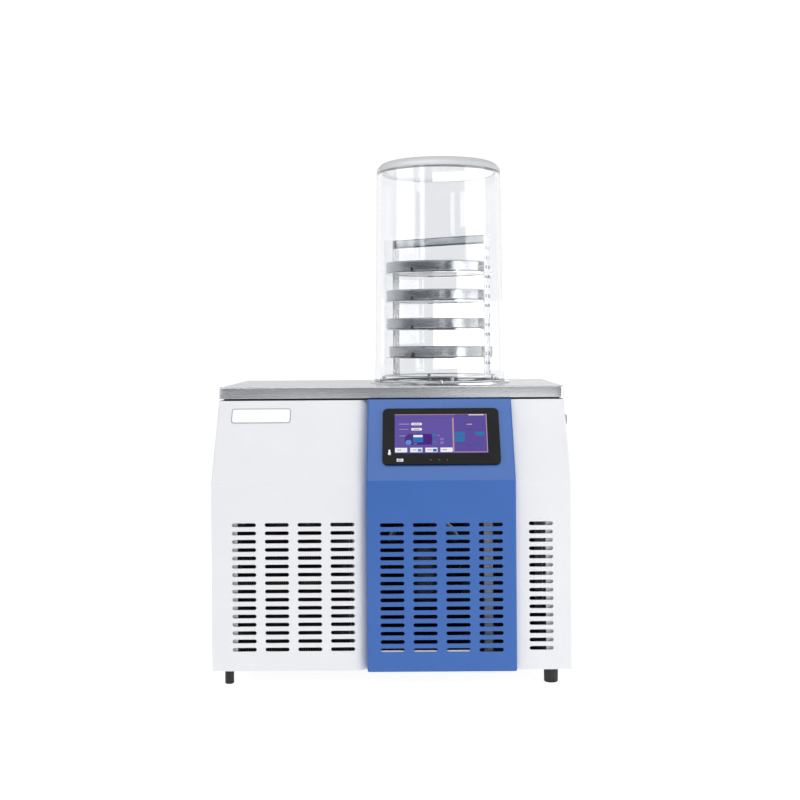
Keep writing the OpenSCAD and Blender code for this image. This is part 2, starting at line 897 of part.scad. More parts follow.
// Flat tube between the uprights' top ends
module hand_bar() {
    inner_r = bar_corner_r - bar_wall;
    color("silver") place() on_rack(bar_z) rotate([90, 0, 90]) translate([0, 0, -upright_r])
        linear_extrude(2 * upright_r) difference() {
            round_rect(bar_t, bar_h, bar_corner_r);
            round_rect(bar_t - 2 * bar_wall, bar_h - 2 * bar_wall, inner_r);
        }
}

function shelf_z(i) = top_z + tray_low + i * tray_pitch - shelf_t;
function hook_z(z) = rack_z + hook_first + floor((z - rack_z - hook_first) / hook_pitch) * hook_pitch;

// Ring shelf with two upturned lugs and two hooked legs
module shelf(i) {
    z = shelf_z(i);
    leg_z = hook_z(z) - hook_hole_h / 2 + glass_in;
    leg_w = upright_w - 2 * leg_in;
    leg_x = shelf_r - shelf_t;
    color("silver") place() {
        on_rack(z) difference() {
            cylinder(r = shelf_r, h = shelf_t);
            translate([0, 0, -over]) cylinder(r = shelf_r - shelf_w, h = shelf_t + 2 * over);
        }
        on_rack(z) for (a = [90, 270]) rotate([0, 0, a]) translate([shelf_r - lug_out, -lug_w / 2, 0]) {
            cube([shelf_t + lug_out, lug_w, shelf_t]);
            translate([lug_out, 0, 0]) cube([shelf_t, lug_w, lug_h]);
        }
        on_rack(leg_z) for (a = [0, 180]) rotate([0, 0, a]) {
            translate([leg_x, -leg_w / 2, 0]) cube([shelf_t, leg_w, z - leg_z + shelf_t / 2]);
            for (s = [-1, 1]) translate([leg_x, s * hook_hole_at - hook_w / 2, 0])
                cube([shelf_t + hook_l, hook_w, hook_h]);
        }
    }
}

module shelf_1() {
    shelf(0);
}

module shelf_2() {
    shelf(1);
}

module shelf_3() {
    shelf(2);
}

module shelf_4() {
    shelf(3);
}

module tray(i) {
    inner_r = tray_r - tray_t;
    half = tray_t / 2;
    color("silver") place() translate([tray_shift[i], 0, 0]) at_trap(shelf_z(i) + shelf_t)
        rotate_extrude() polygon([
            [0, 0], [tray_r - tray_foot, 0], [tray_r, tray_foot], [tray_r, tray_h], [inner_r, tray_h],
            [inner_r, tray_foot + half], [tray_r - tray_foot - half, tray_t], [0, tray_t]]);
}

module tray_1() {
    tray(0);
}

module tray_2() {
    tray(1);
}

module tray_3() {
    tray(2);
}

module tray_4() {
    tray(3);
}

// ---- Screen ----

// Plane of the screen: x across, y up the slope, z out of the panel, from the bezel's centre
module at_screen(out) {
    at_knee(slope_a) translate([panel_x + bezel_x, -panel_proud - out, bezel_up + bezel_h / 2])
        rotate([90, 0, 0]) children();
}

module screen_bezel() {
    color("black") place() at_screen(0) linear_extrude(bezel_t) difference() {
        round_rect(bezel_w, bezel_h, bezel_r);
        translate([0, display_up])
            square([display_w + 2 * seat, display_h + 2 * seat], center = true);
    }
}

module screen_glass() {
    color("mediumpurple") place() at_screen(bezel_t - glass_in - glass_t) linear_extrude(glass_t)
        translate([0, display_up]) square([display_w, display_h], center = true);
}

module screen_housing() {
    color("dimgray") place() {
        at_screen(-housing_d) linear_extrude(housing_d) square([housing_w, housing_h], center = true);
        at_screen(0) linear_extrude(bezel_t - glass_in - glass_t) translate([0, display_up])
            square([display_w - 2 * display_rim_x, display_h - 2 * display_rim_y], center = true);
    }
}

// ---- Refrigeration ----

module at_compressor(z) translate([comp_x, comp_y, z]) children();

module at_comp_holes() {
    for (x = [-1, 1], y = [-1, 1])
        translate([x * (comp_plate_w / 2 - comp_hole_in), y * (comp_plate_d / 2 - comp_hole_in), 0])
            children();
}

module compressor() {
    seam_r = compressor_r + comp_seam_w;
    bottom_r = compressor_r - comp_bottom_r;
    color([0.1, 0.1, 0.1]) place() {
        at_compressor(comp_z - comp_plate_t) difference() {
            translate([-comp_plate_w / 2, -comp_plate_d / 2, 0])
                cube([comp_plate_w, comp_plate_d, comp_plate_t]);
            at_comp_holes() translate([0, 0, -over]) cylinder(r = comp_hole_r, h = comp_plate_t + 2 * over);
        }
        at_compressor(comp_z) rotate_extrude() polygon(concat(
            [[0, 0], [bottom_r, 0]],
            arc(bottom_r, comp_bottom_r, comp_bottom_r, -80, 0, 5),
            [[compressor_r, comp_seam_z], [seam_r, comp_seam_z],
             [seam_r, comp_seam_z + comp_seam_h], [compressor_r, comp_seam_z + comp_seam_h]],
            arc(compressor_r - comp_dome_r, compressor_h - comp_dome_r, comp_dome_r, 0, 90, 8),
            [[0, compressor_h]]));
    }
}

module compressor_grommets() {
    color("dimgray") place() at_compressor(floor_z) at_comp_holes() {
        cylinder(r = grommet_r, h = grommet_h);
        cylinder(r = comp_hole_r - seat, h = grommet_h + comp_plate_t + grommet_tip);
    }
}

module compressor_box() {
    color("dimgray") place() at_compressor(comp_z + box_up)
        translate([compressor_r + seat, -box_w / 2, 0]) cube([box_l, box_w, box_h]);
}

function cond_row_z(k) = floor_z + fin_up + (k + 0.5) * cond_pitch;

// Section through the condenser, with a hole for each length of tube
module cond_section(h, low) {
    difference() {
        square([condenser_d, h]);
        for (k = [0 : cond_rows - 1], t = [cond_near, cond_far])
            translate([t * condenser_d, low + (k + 0.5) * cond_pitch])
                circle(cond_tube_r + run_fit, $fn = 24);
    }
}

module condenser_fins() {
    pitch = condenser_w / fin_count;
    color("silver") place() for (i = [0 : fin_count - 1])
        translate([cond_x - condenser_w / 2 + (i + 0.5) * pitch, cond_y, floor_z + fin_up])
            rotate([90, 0, 90]) linear_extrude(fin_t, center = true) cond_section(condenser_h, 0);
}

module condenser_tube() {
    x0 = 2 * cond_x - cond_tube_x;
    x1 = cond_tube_x;
    x2 = x1 + cond_bend + cond_end_gap;
    near = cond_near_y;
    far = cond_far_y;
    color("peru") place() {
        for (z = [for (k = [0 : cond_rows - 1]) cond_row_z(k)])
            pipe([[x1, near, z], [x0, near, z], [x0, far, z], [x1, far, z]], cond_tube_r, cond_bend);
        for (k = [0 : cond_rows - 2]) {
            y = k % 2 == 0 ? near : far;
            z0 = cond_row_z(k);
            z1 = cond_row_z(k + 1);
            pipe([[x1, y, z0], [x2, y, z0], [x2, y, z1], [x1, y, z1]], cond_tube_r, cond_bend);
        }
    }
}

module condenser_ends() {
    x = condenser_w / 2 + cond_end_t / 2 + cond_end_gap;
    color("silver") place() for (s = [-1, 1]) translate([cond_x + s * x, cond_y, floor_z])
        rotate([90, 0, 90]) linear_extrude(cond_end_t, center = true)
            cond_section(condenser_h + 2 * fin_up, fin_up);
}

module at_fan(y) translate([cond_x, y, fan_z]) rotate([-90, 0, 0]) children();

module ring(outer, inner, h) {
    difference() {
        cylinder(r = outer, h = h);
        translate([0, 0, -over]) cylinder(r = inner, h = h + 2 * over);
    }
}

module fan_shroud() {
    ring_r = fan_r + fan_gap;
    outer_r = ring_r + shroud_t;
    w = condenser_w / 2 + shroud_in;
    h = condenser_h / 2 + shroud_in;
    color("dimgray") place() {
        at_fan(shroud_y) difference() {
            translate([-w, -h, 0]) cube([2 * w, 2 * h + 2 * shroud_in, shroud_t]);
            translate([0, 0, -over]) cylinder(r = ring_r, h = shroud_t + 2 * over);
        }
        at_fan(shroud_y + shroud_t) ring(outer_r, ring_r, shroud_ring_d);
        at_fan(motor_y + over) for (a = [30, 150, 270]) rotate([0, 0, a])
            translate([motor_r, -arm_w / 2, 0]) cube([outer_r - motor_r, arm_w, arm_t]);
        at_fan(motor_y + over) ring(motor_r + motor_ring_t, motor_r + run_fit, motor_ring_l);
    }
}

module fan_motor() {
    color("black") place() {
        at_fan(motor_y) cylinder(r = motor_r, h = motor_l);
        at_fan(motor_y - shaft_l) cylinder(r = shaft_r, h = shaft_l + over);
    }
}

module fan_rotor() {
    color("black") place() at_fan(fan_y) difference() {
        union() {
            cylinder(r = hub_r, h = fan_d);
            intersection() {
                cylinder(r = fan_r, h = fan_d);
                for (i = [0 : blade_count - 1]) rotate([0, 0, i * 360 / blade_count])
                    translate([hub_r - motor_ring_t, 0, fan_d / 2]) rotate([blade_tilt, 0, 0])
                        translate([0, -blade_w / 2, -blade_t / 2]) cube([fan_r, blade_w, blade_t]);
            }
        }
        translate([0, 0, fan_d - hub_bore_l]) cylinder(r = shaft_r + run_fit, h = hub_bore_l + over);
    }
}

// ---- Pipes and boxes ----

module filter_drier() {
    z = cond_row_z(0);
    body_l = drier_l - 2 * drier_cone;
    color("peru") place() translate([line_x, drier_y0, z]) rotate([-90, 0, 0]) {
        cylinder(r1 = line_r + over, r2 = drier_r, h = drier_cone);
        translate([0, 0, drier_cone]) cylinder(r = drier_r, h = body_l);
        translate([0, 0, drier_cone + body_l])
            cylinder(r1 = drier_r, r2 = capillary_r + over, h = drier_cone);
    }
}

module suction_line() {
    color("peru") place() translate([comp_x + suction_at, comp_y, comp_top_z])
        cylinder(r = line_r + over, h = foam_bottom_z - comp_top_z);
}

module discharge_line() {
    x = comp_x + discharge_at[0];
    y = comp_y + discharge_at[1];
    z = comp_top_z + discharge_up;
    z1 = cond_row_z(cond_rows - 1);
    color("peru") place() pipe([[x, y, comp_top_z], [x, y, z], [line_x, y, z], [line_x, cond_far_y, z],
        [line_x, cond_far_y, z1], [cond_tube_x, cond_far_y, z1]], line_r, line_bend);
}

module liquid_line() {
    x = trap_x - foam_r + liquid_in;
    y = trap_y + liquid_back;
    z = foam_bottom_z - liquid_down;
    z0 = cond_row_z(0);
    color("peru") place() {
        pipe([[cond_tube_x, cond_far_y, z0], [line_x, cond_far_y, z0], [line_x, drier_y0, z0]],
            line_r, line_bend);
        pipe([[line_x, drier_y0 + drier_l, z0], [line_x, y, z0], [line_x, y, z], [x, y, z],
            [x, y, foam_bottom_z]], capillary_r, line_bend);
    }
}

module control_box() {
    y = back_y - control_back - control_d;
    color("lightgray") place() translate([control_in - side_x, y, floor_z]) difference() {
        cube([control_w, control_d, control_h]);
        translate([control_t, -over, control_rim])
            cube([control_w - 2 * control_t, control_t + over, control_h - 2 * control_rim]);
    }
}

// Room of the trap's wall, cut from the ends of the lines that meet it
module trap_room() {
    at_trap(trap_bottom_z) cylinder(r = trap_outer_r, h = trap_depth + over);
}

module vacuum_line() {
    color("silver") place() difference() {
        translate([port_x, trap_y, port_z]) rotate([-90, 0, 0])
            ring(port_r + port_wall, port_r - port_step, port_inner_y - trap_y);
        trap_room();
    }
}

module vacuum_port() {
    l = port_mouth_y - port_inner_y;
    outer_r = port_r + port_wall;
    color("silver") place() translate([port_x, port_inner_y, port_z]) rotate([-90, 0, 0]) difference() {
        union() {
            cylinder(r = outer_r, h = l);
            translate([0, 0, l - port_flange_t - port_cone])
                cylinder(r1 = outer_r, r2 = port_flange_r, h = port_cone);
            translate([0, 0, l - port_flange_t]) cylinder(r = port_flange_r, h = port_flange_t);
            translate([0, 0, port_l]) cylinder(r = port_flange_r + port_collar_t, h = port_collar_t);
        }
        translate([0, 0, -over]) cylinder(r = port_r, h = l + 2 * over);
    }
}

module drain_line() {
    color("silver") place() pipe([[trap_x, trap_y, trap_bottom_z - trap_t], [trap_x, trap_y, drain_z],
        [trap_x, back_y, drain_z]], drain_tube_r, drain_bend, drain_tube_r - drain_tube_t);
}

module drain_valve() {
    gland_h = lever_z - drain_z - valve_body_r + gland_in - seat;
    stem_h = lever_z - drain_z - valve_body_r + lever_hub_h - over;
    color("silver") place() translate([trap_x, back_y, drain_z]) {
        rotate([-90, 0, 0]) difference() {
            union() {
                cylinder(r = valve_body_r, h = drain_valve_l);
                for (z = [0, drain_valve_l - drain_nut_l]) translate([0, 0, z]) rotate([0, 0, 30])
                    cylinder(r = drain_nut_r, h = drain_nut_l, $fn = 6);
                translate([0, 0, drain_valve_l]) cylinder(r = spigot_r, h = spigot_l);
            }
            translate([0, 0, -over]) cylinder(r = drain_bore_r, h = drain_valve_l + spigot_l + 2 * over);
        }
        translate([0, drain_valve_l / 2, valve_body_r - gland_in]) cylinder(r = gland_r, h = gland_h);
        translate([0, drain_valve_l / 2, valve_body_r]) cylinder(r = lever_stem_r, h = stem_h);
    }
}

module drain_lever() {
    grip_l = lever_l - lever_w / 2;
    color("steelblue") place() translate([trap_x, lever_y, lever_z]) difference() {
        union() {
            cylinder(r = lever_hub_r, h = lever_hub_h);
            translate([0, -lever_w / 2, lever_up]) cube([grip_l, lever_w, lever_t]);
            translate([grip_l, 0, lever_up]) cylinder(r = lever_w / 2, h = lever_t);
        }
        translate([0, 0, -over]) cylinder(r = lever_stem_r + run_fit, h = lever_hub_h + over / 5);
    }
}

module vent_valve() {
    color("silver") place() translate([side_x, knob_y, knob_z]) rotate([0, 90, 0]) {
        translate([0, 0, -valve_shank_l]) cylinder(r = valve_shank_r, h = valve_shank_l);
        translate([0, 0, -sheet_t - valve_nut_t]) cylinder(r = valve_plate_r, h = valve_nut_t, $fn = 6);
        cylinder(r = valve_plate_r, h = valve_plate_t);
        cylinder(r = valve_stem_r, h = valve_plate_t + knob_gap + knob_bore_l - over);
    }
}

module vent_knob() {
    color("silver") place() translate([knob_x, knob_y, knob_z]) rotate([0, 90, 0]) difference() {
        cylinder(r = knob_r, h = knob_l);
        translate([0, 0, -over]) cylinder(r = valve_stem_r + run_fit, h = knob_bore_l + over);
        for (i = [0 : knob_flutes - 1]) rotate([0, 0, i * 360 / knob_flutes])
            translate([knob_r + knob_flute_out, 0, knob_flange]) cylinder(r = knob_flute_r, h = knob_l);
    }
}

module vent_tube() {
    end_x = side_x - valve_shank_l;
    color("silver") place() difference() {
        translate([trap_x, knob_y, knob_z]) rotate([0, 90, 0]) cylinder(r = vent_tube_r, h = end_x - trap_x);
        trap_room();
    }
}

module at_service(x) translate([x, back_y, service_z]) rotate([-90, 0, 0]) children();

module socket_body() {
    w = socket_w + socket_flange[0];
    h = socket_h + socket_flange[1];
    translate([-socket_w / 2, -socket_h / 2, -socket_d]) cube([socket_w, socket_h, socket_d]);
    linear_extrude(service_flange_t) round_rect(w, h, socket_corner_r);
}

module at_pins(z) for (p = pins) translate([p[0] - pin_w / 2, p[1] - pin_h / 2, z]) children();

module mains_inlet() {
    color("black") place() at_service(inlet_x) {
        difference() {
            socket_body();
            translate([0, 0, -socket_well]) linear_extrude(socket_well + service_flange_t + over)
                round_rect(socket_w - socket_wall[0], socket_h - socket_wall[1], socket_corner_r);
        }
        at_pins(-socket_well - over) cube([pin_w, pin_h, pin_l]);
    }
}

module pump_socket() {
    color("black") place() at_service(socket_x) difference() {
        socket_body();
        at_pins(-switch_well) cube([pin_w, pin_h, switch_well + service_flange_t + over]);
    }
}

module switch_frame() {
    well_w = switch_w - 2 * switch_wall;
    well_h = switch_h - 2 * switch_wall;
    color("black") place() at_service(switch_x) difference() {
        union() {
            translate([-switch_w / 2, -switch_h / 2, -switch_d]) cube([switch_w, switch_h, switch_d]);
            linear_extrude(service_flange_t)
                round_rect(switch_w + switch_flange, switch_h + switch_flange, switch_corner_r);
        }
        translate([-well_w / 2, -well_h / 2, -switch_well])
            cube([well_w, well_h, switch_well + service_flange_t + over]);
        translate([pivot_bore_end - switch_w / 2, 0, -pivot_in]) rotate([0, 90, 0])
            cylinder(r = pivot_r + run_fit, h = switch_w - 2 * pivot_bore_end);
    }
}

// Rocker with hollowed halves, which tips on its pivot
module switch_rocker() {
    h = rocker_half;
    t = rocker_t;
    pivot_l = switch_w - 2 * pivot_bore_end - 2 * seat;
    color("firebrick") place() at_service(switch_x) translate([0, 0, -pivot_in]) rotate([rocker_tilt, 0, 0]) {
        translate([-rocker_w / 2, 0, 0]) rotate([90, 0, 90]) linear_extrude(rocker_w) polygon([
            [t / 2 - h, -t], [h - t / 2, -t], [h, t], [h * 0.5, t * 0.8], [0, t * 0.72],
            [-h * 0.5, t * 0.8], [-h, t]]);
        translate([-pivot_l / 2, 0, 0]) rotate([0, 90, 0]) cylinder(r = pivot_r, h = pivot_l);
    }
}

base_pan();
frame();
left_cover();
right_cover();
centre_panel();
rear_panel();
backing_board();
worktop();
left_feet();
right_feet();
cover_screws();
trap_well();
cooling_coil();
foam_jacket();
seat_ring();
seal_ring();
locating_studs();
bell_jar();
rack_base();
left_upright();
right_upright();
hand_bar();
shelf_1();
shelf_2();
shelf_3();
shelf_4();
tray_1();
tray_2();
tray_3();
tray_4();
screen_bezel();
screen_glass();
screen_housing();
compressor();
compressor_grommets();
compressor_box();
condenser_fins();
condenser_tube();
condenser_ends();
fan_shroud();
fan_motor();
fan_rotor();
filter_drier();
suction_line();
discharge_line();
liquid_line();
control_box();
vacuum_line();
vacuum_port();
drain_line();
drain_valve();
drain_lever();
vent_valve();
vent_knob();
vent_tube();
mains_inlet();
pump_socket();
switch_frame();
switch_rocker();
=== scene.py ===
"""Dresses a tabletop freeze dryer: sheet-metal cabinet, cold trap, clear bell jar, rack and trays.

Lengths are in millimetres in the classes and turned into metres by Datum.at, in the frame of the
solids: x runs to the right, y to the back and z up from the bench.
"""

import logging
import math
from dataclasses import dataclass, field
from enum import Enum
from typing import Callable, Sequence

import bmesh
import bpy
from mathutils import Euler, Matrix, Vector


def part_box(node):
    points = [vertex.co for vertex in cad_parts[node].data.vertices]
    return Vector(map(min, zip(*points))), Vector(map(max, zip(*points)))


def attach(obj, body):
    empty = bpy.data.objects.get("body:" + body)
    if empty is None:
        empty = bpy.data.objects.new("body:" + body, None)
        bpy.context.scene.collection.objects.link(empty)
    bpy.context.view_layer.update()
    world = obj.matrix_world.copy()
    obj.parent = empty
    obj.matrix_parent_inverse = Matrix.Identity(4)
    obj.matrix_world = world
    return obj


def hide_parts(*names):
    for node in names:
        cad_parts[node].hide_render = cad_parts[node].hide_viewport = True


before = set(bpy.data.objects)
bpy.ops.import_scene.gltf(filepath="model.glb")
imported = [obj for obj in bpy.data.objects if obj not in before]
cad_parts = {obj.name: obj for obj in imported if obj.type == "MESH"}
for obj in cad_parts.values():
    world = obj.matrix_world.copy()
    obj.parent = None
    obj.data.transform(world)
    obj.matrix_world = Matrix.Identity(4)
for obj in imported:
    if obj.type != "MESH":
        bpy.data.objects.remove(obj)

MM = 0.001
TINY = 1e-6
RIGHT_ANGLE = math.pi / 2
# Most values of a noise lie in these ranges, so they are what a pattern's full swing is taken from.
GLOSS_SWING = (0.3, 0.7)
TONE_SWING = (0.35, 0.65)

Pair = tuple[float, float]
Triple = tuple[float, float, float]
Colour = tuple[float, float, float, float]
Optics = tuple[tuple[str, float], ...]
Profile = Sequence[Pair]
Socket = bpy.types.NodeSocket
Outline = Callable[[float], list[Vector]]
log = logging.getLogger("freeze_dryer")


def linear(hex_colour: str) -> Colour:
    """Turn an sRGB hex colour into linear light.

    Args:
        hex_colour: Colour as "#RRGGBB".

    Returns:
        Linear red, green, blue and an alpha of 1.
    """
    parts = [int(hex_colour[i : i + 2], 16) / 255 for i in (1, 3, 5)]
    red, green, blue = (c / 12.92 if c <= 0.04045 else ((c + 0.055) / 1.055) ** 2.4 for c in parts)
    return red, green, blue, 1.0


def add_node(
    tree: bpy.types.NodeTree, kind: str, inputs: dict | None = None, **settings: object
) -> bpy.types.Node:
    """Add one shader node.

    Args:
        tree: Node tree that gets the node.
        kind: Blender's identifier of the node.
        inputs: Value or linked socket for each input, by name or number.
        **settings: Attributes of the node.

    Returns:
        The new node.
    """
    node = tree.nodes.new(kind)
    for key, value in settings.items():
        setattr(node, key, value)
    for key, value in (inputs or {}).items():
        if isinstance(value, Socket):
            tree.links.new(value, node.inputs[key])
        else:
            node.inputs[key].default_value = value
    return node


# ---------------------------------------------------------------- finishes


@dataclass(frozen=True)
class Pattern:
    """An irregular pattern that can lie over a surface."""

    size: float  # size of its features in millimetres
    detail: float = 2.0  # octaves of finer variation
    stretch: Triple = (1, 1, 1)  # how much longer its features are along each axis


@dataclass
class Look:
    """A material's shader while it is put together."""

    tree: bpy.types.NodeTree  # node tree of the material
    surface: bpy.types.Node  # its Principled shader
    # Patterns that are in the tree already.
    laid: dict[Pattern, Socket] = field(default_factory=dict)

    def place(self) -> Socket:
        """Return the piece's own coordinates in metres."""
        return add_node(self.tree, "ShaderNodeTexCoord").outputs["Object"]

    def noise(self, pattern: Pattern, place: Socket | None = None) -> Socket:
        """Lay a pattern over the surface.

        Args:
            pattern: The pattern.
            place: Coordinates in metres in place of the piece's own.

        Returns:
            The pattern's value, from 0 to 1.
        """
        if pattern not in self.laid:
            scale = tuple(1 / (pattern.size * MM * s) for s in pattern.stretch)
            inputs = {"Vector": place or self.place(), "Scale": scale}
            mapped = add_node(self.tree, "ShaderNodeMapping", inputs)
            inputs = {"Vector": mapped.outputs[0], "Scale": 1.0, "Detail": pattern.detail}
            self.laid[pattern] = add_node(self.tree, "ShaderNodeTexNoise", inputs).outputs["Fac"]
        return self.laid[pattern]

    def cells(self, size: float) -> bpy.types.Node:
        """Divide the surface into cells.

        Args:
            size: Size of a cell in millimetres.

        Returns:
            The node with the cells' colours and the distances from their middles.
        """
        inputs = {"Vector": self.place(), "Scale": (1 / (size * MM),) * 3}
        mapped = add_node(self.tree, "ShaderNodeMapping", inputs)
        return add_node(self.tree, "ShaderNodeTexVoronoi", {"Vector": mapped.outputs[0], "Scale": 1.0})

    def mix(self, share: Socket, one: object, two: object) -> None:
        """Make the colour a mix of two.

        Args:
            share: Share of the second one.
            one: First colour or its socket.
            two: Second colour.
        """
        mixed = add_node(self.tree, "ShaderNodeMix", {0: share, 6: one, 7: two}, data_type="RGBA")
        self.tree.links.new(mixed.outputs[2], self.surface.inputs["Base Color"])

    def vary_gloss(self, value: Socket, middle: float, spread: float) -> None:
        """Let a pattern vary the roughness.

        Args:
            value: The pattern.
            middle: Middle of the roughness.
            spread: How far it goes to either side.
        """
        inputs = {"Value": value, "From Min": GLOSS_SWING[0], "From Max": GLOSS_SWING[1]}
        inputs |= {"To Min": middle - spread, "To Max": middle + spread}
        gloss = add_node(self.tree, "ShaderNodeMapRange", inputs)
        self.tree.links.new(gloss.outputs[0], self.surface.inputs["Roughness"])

    def vary_tone(self, value: Socket, colour: str, other: str) -> None:
        """Let a pattern carry the colour towards another one.

        Args:
            value: The pattern.
            colour: First colour as an sRGB hex value.
            other: Second colour as an sRGB hex value.
        """
        inputs = {"Value": value, "From Min": TONE_SWING[0], "From Max": TONE_SWING[1]}
        share = add_node(self.tree, "ShaderNodeMapRange", inputs)
        self.mix(share.outputs[0], linear(colour), linear(other))

    def raise_relief(self, height: Socket, depth: float) -> None:
        """Let a pattern stand up from the surface.

        Args:
            height: The pattern.
            depth: Height of the relief in millimetres.
        """
        bump = add_node(self.tree, "ShaderNodeBump", {"Height": height, "Distance": depth * MM})
        self.tree.links.new(bump.outputs[0], self.surface.inputs["Normal"])


@dataclass(frozen=True)
class Finish:
    """A surface as it was made: its colour, its gloss and the patterns that show on it."""

    name: str
    colour: str  # sRGB hex value
    roughness: float  # middle of the roughness
    other: str = ""  # second colour, which the tone's pattern mixes in
    optics: Optics = ()  # further inputs of the shader that belong to this kind of surface
    gloss: Pattern | None = None  # pattern of the roughness
    spread: float = 0.0  # how far the roughness goes to either side of its middle
    tone: Pattern | None = None  # pattern of the colour
    relief: Pattern | None = None  # pattern of the relief
    depth: float = 0.0  # height of the relief in millimetres

    def material(self) -> bpy.types.Material:
        """Make the material, or find it if it has been made before.

        Returns:
            The material.
        """
        made = bpy.data.materials.get(self.name)
        if made:
            return made
        made = bpy.data.materials.new(self.name)
        made.use_nodes = True
        tree = made.node_tree
        tree.nodes.clear()
        plain = {"Base Color": linear(self.colour), "Roughness": self.roughness} | dict(self.optics)
        surface = add_node(tree, "ShaderNodeBsdfPrincipled", plain)
        add_node(tree, "ShaderNodeOutputMaterial", {"Surface": surface.outputs["BSDF"]})
        self.shade(Look(tree, surface))
        return made

    def shade(self, look: Look) -> None:
        """Lay the finish's patterns over its plain colour.

        Args:
            look: The shader under construction.
        """
        if self.gloss:
            look.vary_gloss(look.noise(self.gloss), self.roughness, self.spread)
        if self.tone:
            look.vary_tone(look.noise(self.tone), self.colour, self.other)
        if self.relief:
            look.raise_relief(look.noise(self.relief), self.depth)


@dataclass(frozen=True)
class PowderCoat(Finish):
    """Polyester powder coat on folded sheet: an even satin paint with a fine orange peel.

    The real peel of about 1 mm is too fine to show and is drawn twice as coarse.
    """

    other: str = "#DEDFE2"
    optics: Optics = (("IOR", 1.5),)
    gloss: Pattern = Pattern(60.0, 3.0)
    spread: float = 0.015
    tone: Pattern = Pattern(60.0, 3.0)
    relief: Pattern = Pattern(2.2, 1.0)
    depth: float = 0.012


@dataclass(frozen=True)
class ShadedInsidePanel(PowderCoat):
    """Powder-coated sheet whose inner face is painted black: painted shade that keeps a compressor housing dark
    behind its slots.
    """

    inside_shade: str = "#0C0D0E"  # colour of the painted shade on the inner face
    inward: Triple = (0.0, -1.0, 0.0)  # the way that the inner face looks
    limit: float = 0.7  # least cosine between that way and a face that gets the painted shade

    def shade(self, look: Look) -> None:
        """Keep the paint outside and turn the inner face black as painted shade.

        Args:
            look: The shader under construction.
        """
        super().shade(look)
        paint = look.surface.inputs["Base Color"].links[0].from_socket
        facing = add_node(look.tree, "ShaderNodeTexCoord").outputs["Normal"]
        inputs = {0: facing, 1: self.inward}
        turned = add_node(look.tree, "ShaderNodeVectorMath", inputs, operation="DOT_PRODUCT")
        inputs = {0: turned.outputs["Value"], 1: self.limit}
        shaded = add_node(look.tree, "ShaderNodeMath", inputs, operation="GREATER_THAN")
        look.mix(shaded.outputs[0], paint, linear(self.inside_shade))


class Grain(Enum):
    """The axis that a brushed surface's lines run along, as their stretch along each axis."""

    X = (60.0, 1.0, 1.0)
    Z = (1.0, 1.0, 60.0)


@dataclass(frozen=True)
class BrushedSteel(Finish):
    """Belt-brushed stainless steel: straight hairlines that smear the reflections across them."""

    optics: Optics = (("Metallic", 1.0), ("Anisotropic", 0.8))
    spread: float = 0.03
    depth: float = 0.0007
    along: Grain = Grain.X  # axis that the hairlines run along
    # Width of a hairline. Real ones are 0.05 to 0.2 mm and are drawn as wide as they need to show.
    hairline: float = 1.3
    band: float = 14  # width of a band of lighter or darker steel, in hairlines

    def shade(self, look: Look) -> None:
        """Add the hairlines to colour, gloss and relief.

        Args:
            look: The shader under construction.
        """
        stretch = self.along.value
        across = dict(zip("XYZ", (float(s == 1) for s in stretch)))
        tangent = add_node(look.tree, "ShaderNodeCombineXYZ", across)
        look.tree.links.new(tangent.outputs[0], look.surface.inputs["Tangent"])
        lines = look.noise(Pattern(self.hairline, 3.0, stretch))
        bands = look.noise(Pattern(self.hairline * self.band, 1.0, stretch))
        look.vary_gloss(lines, self.roughness, self.spread)
        look.vary_tone(bands, self.colour, self.other)
        look.raise_relief(lines, self.depth)


@dataclass(frozen=True)
class SpunSteel(Finish):
    """Spun and polished stainless steel: fine rings round the axis that it was turned on."""

    other: str = "#B4B7BA"
    optics: Optics = (("Metallic", 1.0),)
    gloss: Pattern = Pattern(1.2, 3.0)  # the tool's feed of about 0.1 mm is drawn coarser so that it shows
    spread: float = 0.05
    tone: Pattern = Pattern(24.0)
    depth: float = 0.0018
    centre: Pair = (0.0, 0.0)  # where that axis is, in metres

    def shade(self, look: Look) -> None:
        """Add rings that depend only on the distance from the axis and on the height.

        Args:
            look: The shader under construction.
        """
        tree, place = look.tree, look.place()
        inputs = {0: place, 1: (*self.centre, 0.0)}
        moved = add_node(tree, "ShaderNodeVectorMath", inputs, operation="SUBTRACT")
        inputs = {0: moved.outputs[0], 1: (1.0, 1.0, 0.0)}
        flat = add_node(tree, "ShaderNodeVectorMath", inputs, operation="MULTIPLY")
        radius = add_node(tree, "ShaderNodeVectorMath", {0: flat.outputs[0]}, operation="LENGTH")
        height = add_node(tree, "ShaderNodeSeparateXYZ", {0: place}).outputs["Z"]
        inputs = {"X": radius.outputs["Value"], "Z": height}
        rings = look.noise(self.gloss, add_node(tree, "ShaderNodeCombineXYZ", inputs).outputs[0])
        look.vary_gloss(rings, self.roughness, self.spread)
        look.vary_tone(look.noise(self.tone), self.colour, self.other)
        look.raise_relief(rings, self.depth)


@dataclass(frozen=True)
class PlatedSteel(Finish):
    """Zinc- or nickel-plated steel: a dull metal with cloudy crystals."""

    other: str = "#8E9296"
    optics: Optics = (("Metallic", 1.0),)
    spread: float = 0.08
    relief: Pattern = Pattern(3.0)
    depth: float = 0.01
    crystal: float = 9.0  # size of a crystal

    def shade(self, look: Look) -> None:
        """Add the crystals of the plating, with their different tones and glosses.

        Args:
            look: The shader under construction.
        """
        colours = look.cells(self.crystal).outputs["Color"]
        level = add_node(look.tree, "ShaderNodeSeparateColor", {0: colours}).outputs[0]
        look.vary_gloss(level, self.roughness, self.spread)
        look.vary_tone(level, self.colour, self.other)
        super().shade(look)


